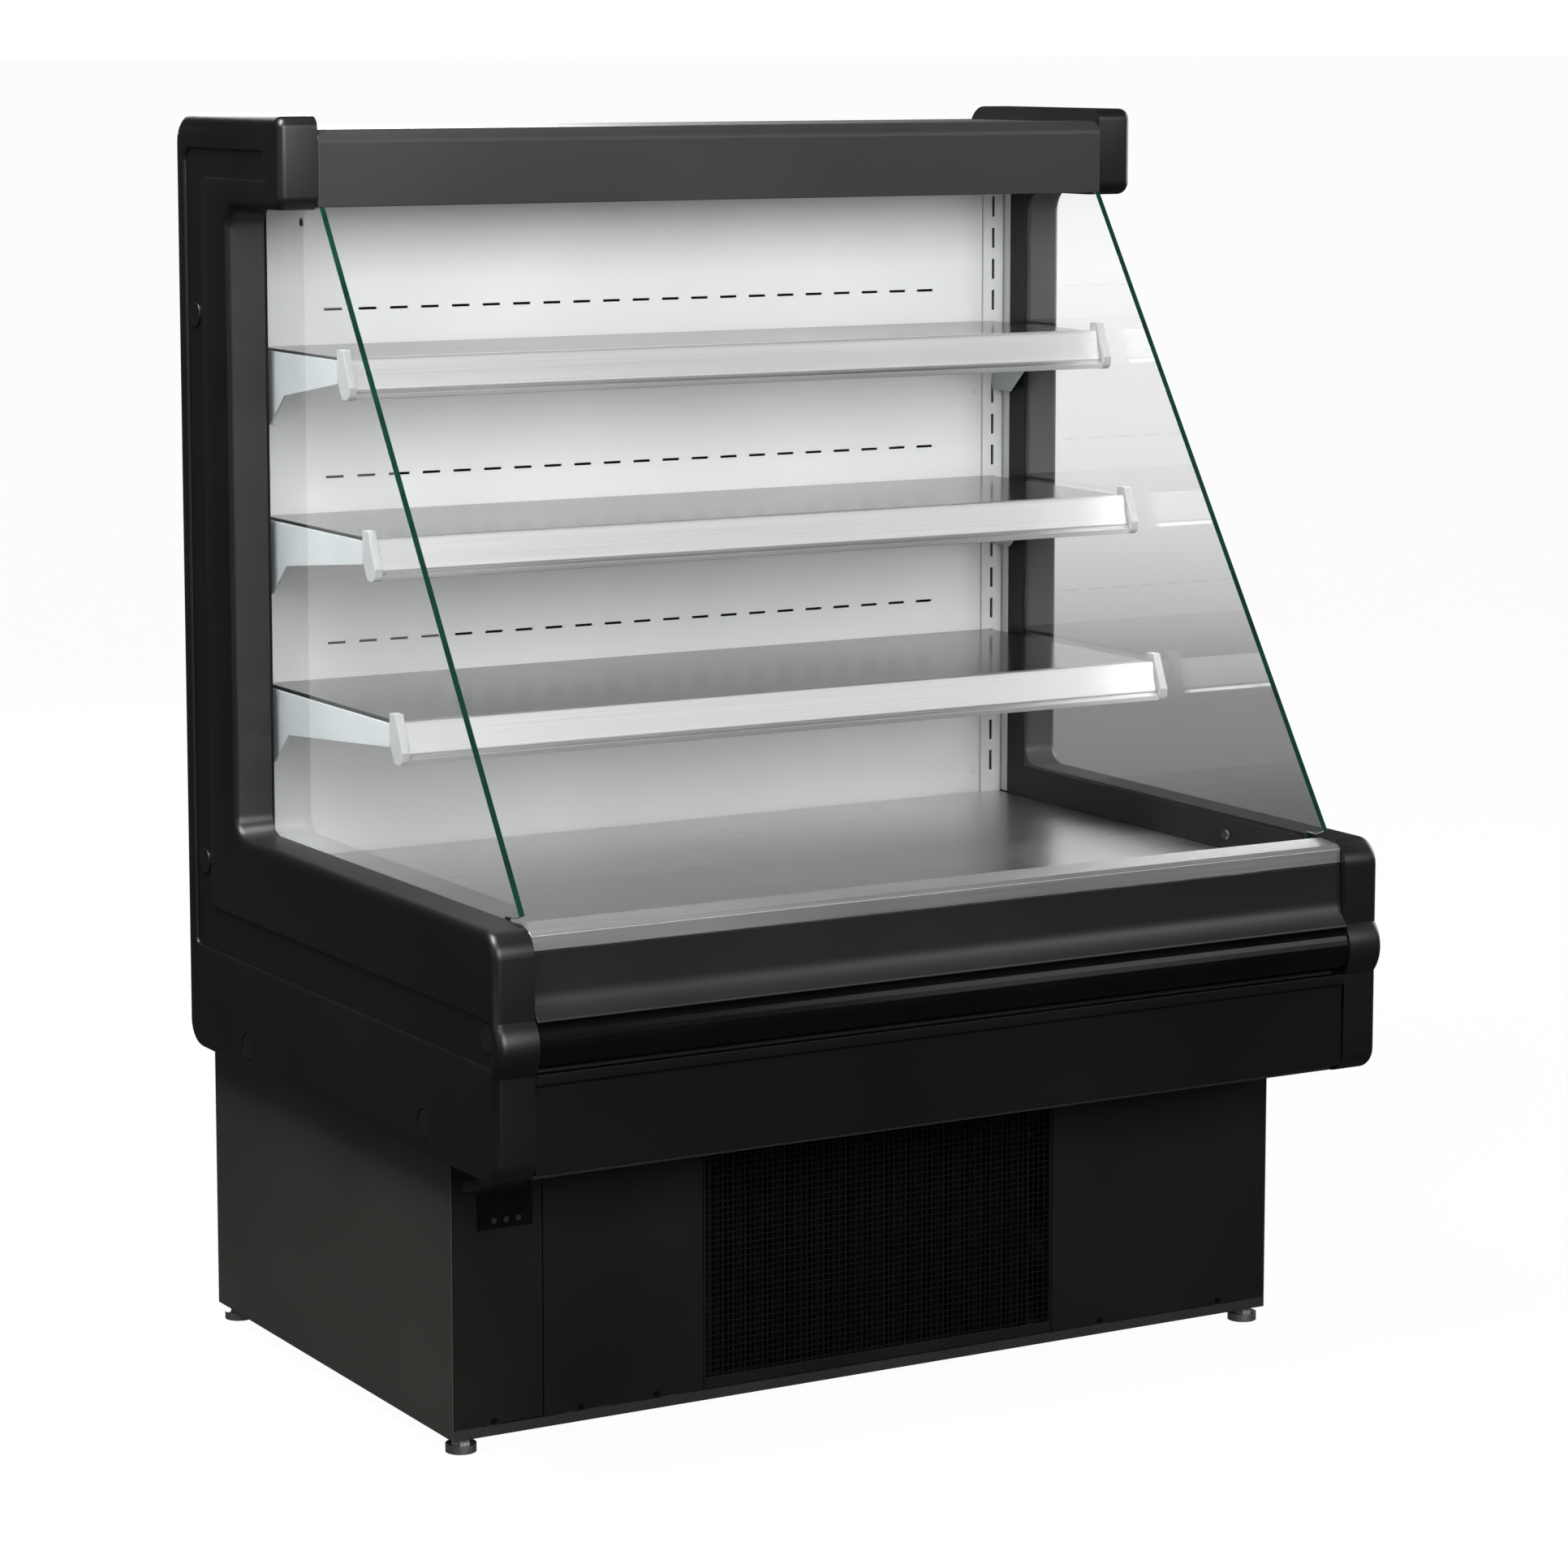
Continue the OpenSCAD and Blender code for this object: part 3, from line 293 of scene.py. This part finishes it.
def opalLamp(name):
    # Opal acrylic over LEDs: even white light, a touch brighter over each diode
    material, tree = blankMaterial(name)
    where = addNode(tree, "TexCoord").outputs["Object"]
    dots = addNode(tree, "TexWave", {"Scale": 1 / mm(70), "Distortion": 0.0}, {"Vector": where})
    tone = addNode(tree, "ValToRGB", links={"Fac": dots.outputs["Fac"]})
    tone.color_ramp.elements[0].color = hexColour("#eef2f4")
    tone.color_ramp.elements[1].color = hexColour("#ffffff")
    shader = addNode(tree, "BsdfPrincipled", {"Roughness": 0.4, "IOR": 1.49, "Emission Strength": 1.0},
                     {"Base Color": tone.outputs["Color"], "Emission Color": tone.outputs["Color"]})
    addNode(tree, "OutputMaterial", links={"Surface": shader.outputs["BSDF"]})
    return material


sideGlass = clearGlass("temperedGlass")
sideGlassEdge = glassEdge("polishedGlassEdge")
lampAcrylic = opalLamp("opalAcrylic")

finishes = {
    frameCoat: ["base_frame"],
    powderBlack: ["base_side_left", "base_side_right", "rear_grille"],
    powderFrontShaded: ["controller_panel", "service_panel", "grille_panel", "right_panel"],
    dipCoat: ["grille_mesh"],
    blackZinc: ["panel_screws"],
    glossAbs: ["controller"],
    keyRubber: ["key_set", "key_up", "key_down"],
    zincPlate: ["foot_front_left", "foot_front_right", "foot_rear_left", "foot_rear_right"],
    machineEnamel: ["compressor", "condenser_coil"],
    millFins: ["evaporator"],
    fanPlastic: ["condenser_fan", "evaporator_fan_left", "evaporator_fan_right"],
    galvanisedSheet: ["condenser_fan_mount", "evaporator_fan_mount"],
    drawnCopper: ["refrigerant_pipes"],
    satinStainless: ["deck_tray", "condensate_pan"],
    boxPlastic: ["electrical_box"],
    capAbs: ["power_inlet", "screw_caps"],
    mouldedAbs: ["left_cheek", "right_cheek"],
    enamelHeaderLit: ["header_front"],
    enamelDark: ["upper_front_panel"],
    enamelLowShaded: ["lower_front_panel"],
    rearCoat: ["rear_panel", "header_top"],
    foamSkin: ["insulated_tank"],
    paleGrey: ["duct_panel", "side_liners", "uprights"],
    bracketGreyShaded: ["brackets_" + name for name in shelfNames],
    brightStainless: ["shelf_" + name for name in shelfNames],
    anodised: ["price_rail_" + name for name in shelfNames],
    capGrey: ["rail_caps_" + name for name in shelfNames],
    lipAnodised: ["front_lip"],
    bumperPvc: ["bumper"],
    lampAcrylic: ["header_lamp"],
    sideGlass: ["glass_left", "glass_right"],
}
for material, names in finishes.items():
    for name in names:
        cadNodes[name].material_slots[0].material = material

# The tank is black on its front, its underside and the wall behind the air slots, and pale foam
# skin elsewhere
tankBlack = {"frontUpTo": -300, "slotWallFrom": 295, "undersideUpTo": 310}
tank = cadNodes["insulated_tank"].data
tank.materials.append(rearCoat)
for face in tank.polygons:
    forward, down = face.normal.y < -0.5, face.normal.z < -0.5
    front = face.center.y < mm(tankBlack["frontUpTo"]) or face.center.y > mm(tankBlack["slotWallFrom"])
    under = face.center.z < mm(tankBlack["undersideUpTo"])
    face.material_index = 1 if (forward and front) or (down and under) else 0

# Clear on the two large faces of each pane, bottle green on its ground edges
for name in ("glass_left", "glass_right"):
    pane = cadNodes[name].data
    pane.materials.append(sideGlassEdge)
    for face in pane.polygons:
        face.material_index = 0 if abs(face.normal.x) > 0.9 else 1


def smoothFacesGroup():
    group = bpy.data.node_groups.new("smoothFaces", "GeometryNodeTree")
    group.interface.new_socket(name="Geometry", in_out="INPUT", socket_type="NodeSocketGeometry")
    group.interface.new_socket(name="Geometry", in_out="OUTPUT", socket_type="NodeSocketGeometry")
    start, end = group.nodes.new("NodeGroupInput"), group.nodes.new("NodeGroupOutput")
    smooth = group.nodes.new("GeometryNodeSetShadeSmooth")
    group.links.new(start.outputs[0], smooth.inputs["Geometry"])
    group.links.new(smooth.outputs["Geometry"], end.inputs[0])
    return group


smoothFaces = smoothFacesGroup()
softEdge = {"weld": 0.01, "flatAngle": 1, "segments": 2, "sharpAngle": 35}


def softenEdges(piece, width, framed):
    # a face that frames a hole stays in triangles, because one merged face would close it
    weld = piece.modifiers.new("weld", "WELD")
    weld.merge_threshold = mm(softEdge["weld"])
    if not framed:
        flat = piece.modifiers.new("mergeFlat", "DECIMATE")
        flat.decimate_type = "DISSOLVE"
        flat.angle_limit = math.radians(softEdge["flatAngle"])
    bevel = piece.modifiers.new("edgeRadius", "BEVEL")
    bevel.width = width
    bevel.segments = softEdge["segments"]
    bevel.limit_method = "ANGLE"
    bevel.angle_limit = math.radians(softEdge["sharpAngle"])
    bevel.use_clamp_overlap = True
    shade = piece.modifiers.new("smoothFaces", "NODES")
    shade.node_group = smoothFaces
    piece.modifiers.new("flatNormals", "WEIGHTED_NORMAL")


print("soft edges")
edgeRadii = {
    mm(0.6): ["base_side_left", "base_side_right", "controller_panel", "service_panel", "grille_panel",
              "right_panel", "controller"],
    mm(0.4): ["shelf_" + name for name in shelfNames] + ["deck_tray"],
    mm(0.35): ["price_rail_" + name for name in shelfNames] + ["front_lip", "duct_panel", "uprights"],
    mm(0.8): ["rail_caps_" + name for name in shelfNames] + ["screw_caps"],
    mm(0.3): ["brackets_" + name for name in shelfNames] + ["glass_left", "glass_right"],
    mm(1.0): ["header_front", "upper_front_panel", "lower_front_panel"],
}
for width, names in edgeRadii.items():
    for name in names:
        softenEdges(cadNodes[name], width, name == "grille_panel")


endPanel = {"outlineRadius": 9.0, "outlineSegments": 5, "channelRadius": 2.7, "channelSegments": 3,
            "channelDepth": 3.0, "outlineDepth": 20.0, "smoothAngle": 30}


def roundedEndPanel(node):
    # a merged copy of the CAD end panel with its outline and its channel rounded off
    source = cadNodes[node]
    pick(source)
    bpy.ops.object.duplicate()
    panel = bpy.context.active_object
    panel.name = node.replace("_cheek", "EndPanel")
    panel.parent = None
    low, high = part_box(node)
    outer = max(abs(low[0]), abs(high[0]))
    bpy.ops.object.mode_set(mode="EDIT")
    bpy.ops.mesh.select_all(action="SELECT")
    bpy.ops.mesh.remove_doubles(threshold=0.00001)
    bpy.ops.mesh.customdata_custom_splitnormals_clear()
    bpy.ops.mesh.dissolve_limited(angle_limit=math.radians(1))
    rims = (("outline", endPanel["outlineRadius"], endPanel["outlineSegments"]),
            ("channel", endPanel["channelRadius"], endPanel["channelSegments"]))
    for rim, width, segments in rims:
        mesh = bmesh.from_edit_mesh(panel.data)
        bpy.ops.mesh.select_all(action="DESELECT")
        bpy.ops.mesh.select_mode(type="EDGE")
        for edge in mesh.edges:
            walls = [f for f in edge.link_faces if abs(f.normal.x) < 0.01]
            faces = [f for f in edge.link_faces if abs(f.normal.x) > 0.99]
            if len(walls) != 1 or len(faces) != 1:
                continue
            spread = [abs(v.co.x) for v in walls[0].verts]
            depth = max(spread) - min(spread)
            onSide = all(abs(abs(v.co.x) - outer) < 1e-5 for v in edge.verts)
            shallow = abs(depth - mm(endPanel["channelDepth"])) < 1e-5
            if onSide and (depth > mm(endPanel["outlineDepth"]) if rim == "outline" else shallow):
                edge.select_set(True)
        bmesh.update_edit_mesh(panel.data)
        bpy.ops.mesh.bevel(offset=mm(width), segments=segments, profile=0.5, affect="EDGES")
    bpy.ops.object.mode_set(mode="OBJECT")
    bpy.ops.object.shade_smooth_by_angle(angle=math.radians(endPanel["smoothAngle"]))
    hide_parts(node)
    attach(panel, "case")


print("end panels")
roundedEndPanel("left_cheek")
roundedEndPanel("right_cheek")


glazingBand = {"thickness": 0.8, "reach": 31.0, "lower": 34.0, "inset": 1.0, "footGap": 2.0,
               "topGap": 3.0, "frontStart": 34.0, "edge": 0.2, "paneGap": 0.02}


def paneBand(name, pane, side):
    # L-shaped band: up the pane's rear edge and along its foot, on the inner face
    low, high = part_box(pane)
    face = min(abs(low[0]), abs(high[0]))
    foot = low[2] + mm(glazingBand["footGap"])
    front = low[1] + mm(glazingBand["frontStart"])
    rear, top = high[1] - mm(glazingBand["inset"]), high[2] - mm(glazingBand["topGap"])
    stripTop = foot + mm(glazingBand["lower"])
    deselectAll()
    bpy.ops.mesh.primitive_plane_add(size=1.0)
    band = bpy.context.active_object
    band.name = name
    corners = {(-0.5, -0.5): (front, foot), (0.5, -0.5): (rear, foot),
               (-0.5, 0.5): (front, stripTop), (0.5, 0.5): (rear, stripTop)}
    for vertex in band.data.vertices:
        y, z = corners[(round(vertex.co.x, 1), round(vertex.co.y, 1))]
        vertex.co = (side * (face - mm(glazingBand["thickness"])), y, z)
    pick(band)
    bpy.ops.object.mode_set(mode="EDIT")
    bpy.ops.mesh.select_all(action="SELECT")
    bpy.ops.mesh.bisect(plane_co=(0, rear - mm(glazingBand["reach"]), 0), plane_no=(0, 1, 0))
    mesh = bmesh.from_edit_mesh(band.data)
    bpy.ops.mesh.select_all(action="DESELECT")
    bpy.ops.mesh.select_mode(type="EDGE")
    for edge in mesh.edges:
        middle = (edge.verts[0].co + edge.verts[1].co) / 2
        level = abs(edge.verts[0].co.z - edge.verts[1].co.z) < 1e-6
        if middle.y > rear - mm(glazingBand["reach"]) and abs(middle.z - stripTop) < 1e-5 and level:
            edge.select_set(True)
    bmesh.update_edit_mesh(band.data)
    bpy.ops.mesh.extrude_region_move(TRANSFORM_OT_translate={"value": (0, 0, top - stripTop)})
    bpy.ops.mesh.select_all(action="SELECT")
    outward = side * mm(glazingBand["thickness"] - glazingBand["paneGap"])
    bpy.ops.mesh.extrude_region_move(TRANSFORM_OT_translate={"value": (outward, 0, 0)})
    bpy.ops.mesh.select_all(action="SELECT")
    bpy.ops.mesh.normals_make_consistent(inside=False)
    bpy.ops.object.mode_set(mode="OBJECT")
    rounding = band.modifiers.new("edgeRadius", "BEVEL")
    rounding.width = mm(glazingBand["edge"])
    rounding.limit_method = "ANGLE"
    pick(band)
    bpy.ops.object.modifier_apply(modifier="edgeRadius")
    band.data.materials.append(glazingTape)
    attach(band, "case")


print("glazing bands")
paneBand("rightGlazingBand", "glass_right", 1)
paneBand("leftGlazingBand", "glass_left", -1)


print("studs, bolts and rivets")
studShape = {"segments": 40, "rimInset": 0.22, "rimRise": 0.3, "smoothAngle": 40}
studs = {
    # centre in row millimetres, way it faces, radius, height, finish, slot
    "sillStud": ((452, -157, 513), (-1, 0, 0), 6.0, 3.0, capAbs, "cap_plastic"),
    "postBolt": ((458, 250, 1079), (-1, 0, 0), 5.5, 3.0, capAbs, "cap_plastic"),
    "tipStud": ((452, -292, 522), (-1, 0, 0), 3.5, 2.0, zincPlate, "foot_zinc"),
    "headStud": ((-452, 150, 1158), (1, 0, 0), 4.0, 2.0, zincPlate, "foot_zinc"),
    "ductRivet_1": ((421, 291, 948), (0, -1, 0), 3.2, 1.0, paleGrey, "grey_steel"),
    "ductRivet_2": ((421, 291, 521), (0, -1, 0), 3.2, 1.0, paleGrey, "grey_steel"),
    "ductRivet_3": ((-421, 291, 948), (0, -1, 0), 3.2, 1.0, paleGrey, "grey_steel"),
    "ductRivet_4": ((-421, 291, 521), (0, -1, 0), 3.2, 1.0, paleGrey, "grey_steel"),
}


def domedStud():
    # a disc of radius 1 and height 1 on the XY plane, its face stepped in and domed
    deselectAll()
    bpy.ops.mesh.primitive_cylinder_add(vertices=studShape["segments"], radius=1.0, depth=1.0,
                                        location=(0, 0, 0))
    stud = bpy.context.active_object
    for vertex in stud.data.vertices:
        vertex.co.z += 0.5
    bpy.ops.object.mode_set(mode="EDIT")
    mesh = bmesh.from_edit_mesh(stud.data)
    bpy.ops.mesh.select_all(action="DESELECT")
    bpy.ops.mesh.select_mode(type="FACE")
    for face in mesh.faces:
        if face.normal.z > 0.9:
            face.select_set(True)
    bmesh.update_edit_mesh(stud.data)
    bpy.ops.mesh.inset(thickness=studShape["rimInset"])
    bpy.ops.transform.translate(value=(0, 0, studShape["rimRise"]))
    bpy.ops.mesh.inset(thickness=studShape["rimInset"])
    bpy.ops.transform.translate(value=(0, 0, -studShape["rimRise"] / 2))
    bpy.ops.object.mode_set(mode="OBJECT")
    bpy.ops.object.shade_smooth_by_angle(angle=math.radians(studShape["smoothAngle"]))
    return stud


firstStud = domedStud()
for name, (centre, facing, radius, height, finish, slot) in studs.items():
    stud = firstStud.copy()
    stud.data = firstStud.data.copy()
    stud.name = name
    scene.collection.objects.link(stud)
    turn = Vector(facing).to_track_quat("Z", "Y").to_matrix()
    for vertex in stud.data.vertices:
        local = Vector((vertex.co.x * radius, vertex.co.y * radius, vertex.co.z * height))
        vertex.co = (turn @ local + Vector(centre)) * mm(1)
    stud.data.materials.append(finish)
    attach(stud, "case")
bpy.data.objects.remove(firstStud)


# dark plate that stands in for the shade inside the slot over the controller
print("slot baffle")
slotShadePlate = {"margin": 2.5, "back": 5.0, "thickness": 1.0, "slotLow": 20.0, "slotHigh": 31.0,
              "slotStart": 12.0, "slotLength": 72.0, "edge": 0.3, "smoothAngle": 40}


def baffle():
    # thin dark plate behind the slot over the controller: painted shade, so the slot reads as a shadowed
    # notch and nobody looks into the base
    low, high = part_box("controller_panel")
    face, middle = low[1], sum(z[2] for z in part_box("controller")) / 2
    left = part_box("base_side_left")[0][0] + mm(slotShadePlate["slotStart"])
    span = (left - mm(slotShadePlate["margin"]),
            left + mm(slotShadePlate["slotLength"] + slotShadePlate["margin"]))
    depth = (face + mm(slotShadePlate["back"]), face + mm(slotShadePlate["back"] + slotShadePlate["thickness"]))
    height = (middle + mm(slotShadePlate["slotLow"] - slotShadePlate["margin"]),
              middle + mm(slotShadePlate["slotHigh"] + slotShadePlate["margin"]))
    deselectAll()
    bpy.ops.mesh.primitive_cube_add(size=1.0, location=(0, 0, 0))
    plate = bpy.context.active_object
    plate.name = "slotShadePlate"
    for vertex in plate.data.vertices:
        vertex.co = [side[1] if part > 0 else side[0]
                     for part, side in zip(vertex.co, (span, depth, height))]
    pick(plate)
    bpy.ops.object.mode_set(mode="EDIT")
    bpy.ops.mesh.select_all(action="SELECT")
    bpy.ops.mesh.bevel(offset=mm(slotShadePlate["edge"]), segments=2, affect="EDGES")
    bpy.ops.object.mode_set(mode="OBJECT")
    bpy.ops.object.shade_smooth_by_angle(angle=math.radians(slotShadePlate["smoothAngle"]))
    plate.data.materials.append(rearCoat)
    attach(plate, "case")


baffle()


print("camera and light")
viewpoint = {"place": (-2.308, -4.016, 1.337), "pitch": 82.69, "yaw": -29.97, "lens": 105.2,
             "sensor": 36, "shiftY": -0.1, "farthest": 500}
cameraData = bpy.data.cameras.new("camera")
camera = bpy.data.objects.new("camera", cameraData)
scene.collection.objects.link(camera)
camera.location = viewpoint["place"]
camera.rotation_euler = (math.radians(viewpoint["pitch"]), 0, math.radians(viewpoint["yaw"]))
cameraData.lens = viewpoint["lens"]
cameraData.sensor_width = viewpoint["sensor"]
cameraData.shift_y = viewpoint["shiftY"]
cameraData.clip_end = viewpoint["farthest"]
scene.camera = camera

floorLook = {"size": 600, "cloud": 0.6, "dark": "#747474", "light": "#7a7a7a", "glow": 1.08,
             "glowShare": 0.9}
deselectAll()
bpy.ops.mesh.primitive_plane_add(size=floorLook["size"], location=(0, 0, 0))
floor = bpy.context.active_object
floor.name = "floor"
floor.visible_transmission = False
floor.visible_glossy = False


def studioFloor(name):
    # matt pale sheet that glows a little where the camera sees it, so its far edge is white
    material, tree = blankMaterial(name)
    where = addNode(tree, "TexCoord").outputs["Object"]
    cloud = addNode(tree, "TexNoise", {"Scale": floorLook["cloud"], "Detail": 2.0}, {"Vector": where})
    tone = addNode(tree, "ValToRGB", links={"Fac": cloud.outputs["Fac"]})
    tone.color_ramp.elements[0].color = hexColour(floorLook["dark"])
    tone.color_ramp.elements[1].color = hexColour(floorLook["light"])
    matt = addNode(tree, "BsdfDiffuse", links={"Color": tone.outputs["Color"]})
    glow = addNode(tree, "Emission", {"Color": (1, 1, 1, 1), "Strength": floorLook["glow"]})
    ray = addNode(tree, "LightPath")
    share = addNode(tree, "Math", {"operation": "MULTIPLY", 1: floorLook["glowShare"]},
                    {0: ray.outputs["Is Camera Ray"]})
    mixed = addNode(tree, "MixShader", links={0: share.outputs["Value"], 1: matt.outputs["BSDF"],
                                              2: glow.outputs["Emission"]})
    addNode(tree, "OutputMaterial", links={"Surface": mixed.outputs["Shader"]})
    return material


floor.data.materials.append(studioFloor("paleFloor"))

world = bpy.data.worlds.new("studio")
scene.world = world
world.use_nodes = True
world.node_tree.nodes.clear()
sky = world.node_tree
direction = addNode(sky, "TexCoord").outputs["Generated"]
height = addNode(sky, "SeparateXYZ", links={"Vector": direction}).outputs["Z"]
# seen through the panes from the front left: a pale wall over a studio floor in shade
wall = addNode(sky, "MapRange", {"From Min": -0.17, "From Max": -0.05}, {"Value": height})
wallTone = addNode(sky, "ValToRGB", links={"Fac": wall.outputs["Result"]})
for place, code in ((0.24, "#878787"), (0.53, "#dbdbdb")):
    wallTone.color_ramp.elements.new(place).color = hexColour(code)
wallTone.color_ramp.elements[0].color = hexColour("#5f5f5f")
wallTone.color_ramp.elements[-1].color = hexColour("#ffffff")
facing = addNode(sky, "VectorMath", {"operation": "DOT_PRODUCT", 1: (0.568, 0.823, 0.0)},
                 {0: direction})
shaded = addNode(sky, "MapRange", {"From Min": 0.8, "From Max": 0.93},
                 {"Value": facing.outputs["Value"]})
wallSeen = addNode(sky, "MixRGB", {"Color1": hexColour("#f0f2f2")},
                   {"Fac": shaded.outputs["Result"], "Color2": wallTone.outputs["Color"]})
ray = addNode(sky, "LightPath")
seen = addNode(sky, "MixRGB", {"Color1": hexColour("#424242")},
               {"Fac": ray.outputs["Is Transmission Ray"], "Color2": wallSeen.outputs["Color"]})
seenAll = addNode(sky, "MixRGB", {"Color2": (1, 1, 1, 1)},
                  {"Fac": ray.outputs["Is Camera Ray"], "Color1": seen.outputs["Color"]})
glow = addNode(sky, "Background", {"Strength": 1.0}, {"Color": seenAll.outputs["Color"]})
addNode(sky, "OutputWorld", links={"Surface": glow.outputs["Background"]})

softboxes = {
    # places and sizes in metres, power in watts
    "leftSoftbox": {"place": (-4.2, -1.2, 1.2), "aim": (-0.4, 0, 0.4), "size": (2.4, 2.0), "power": 8},
    "sideSoftbox": {"place": (-1.35, -0.5, 3.0), "aim": (-0.5, 0, 0.6), "size": (0.8, 1.6), "power": 130},
    "frontSoftbox": {"place": (-0.8, -4.6, 2.3), "aim": (0, 0, 0.8), "size": (3.2, 1.8), "power": 190},
    "rightSoftbox": {"place": (3.4, -4.4, 2.6), "aim": (0.4, 0, 1.1), "size": (1.6, 1.8), "power": 38},
    "topSoftbox": {"place": (-1.6, -1.2, 3.0), "aim": (-0.2, -0.1, 1.1), "size": (2.0, 2.0), "power": 30},
    "sideFill": {"place": (4.0, 0.5, 1.7), "aim": (0.5, 0, 0.6), "size": (2.4, 2.0), "power": 70},
    "backFill": {"place": (0.8, 4.6, 2.2), "aim": (0, 0.3, 0.7), "size": (2.6, 1.8), "power": 150},
    "caseLight": {"place": (0.0, 0.15, 1.165), "aim": (0, 0.2, 0.7), "size": (0.84, 0.03), "power": 0.6},
}
bayLight = {"behindFront": 30, "below": 8, "aimBehind": 190, "aimBelow": 300, "size": (0.84, 0.02),
            "power": {"bottom": 0.55, "middle": 0.65, "top": 0.75}}
for name in shelfNames:
    # light that the pale bay walls pass on under each shelf
    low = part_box("shelf_" + name)[0]
    softboxes[name + "BayLight"] = {
        "place": (0.0, low[1] + mm(bayLight["behindFront"]), low[2] - mm(bayLight["below"])),
        "aim": (0.0, low[1] + mm(bayLight["aimBehind"]), low[2] - mm(bayLight["aimBelow"])),
        "size": bayLight["size"], "power": bayLight["power"][name], "hidden": True}
for name, box in softboxes.items():
    lampData = bpy.data.lights.new(name, "AREA")
    lampData.shape = "RECTANGLE"
    lampData.size, lampData.size_y = box["size"]
    lampData.energy = box["power"]
    lamp = bpy.data.objects.new(name, lampData)
    scene.collection.objects.link(lamp)
    lamp.location = box["place"]
    lamp.rotation_euler = (Vector(box["aim"]) - Vector(box["place"])).to_track_quat("-Z", "Y").to_euler()
    lamp.visible_camera = False
    lamp.visible_glossy = not box.get("hidden", False)

scene.view_settings.view_transform = "Standard"
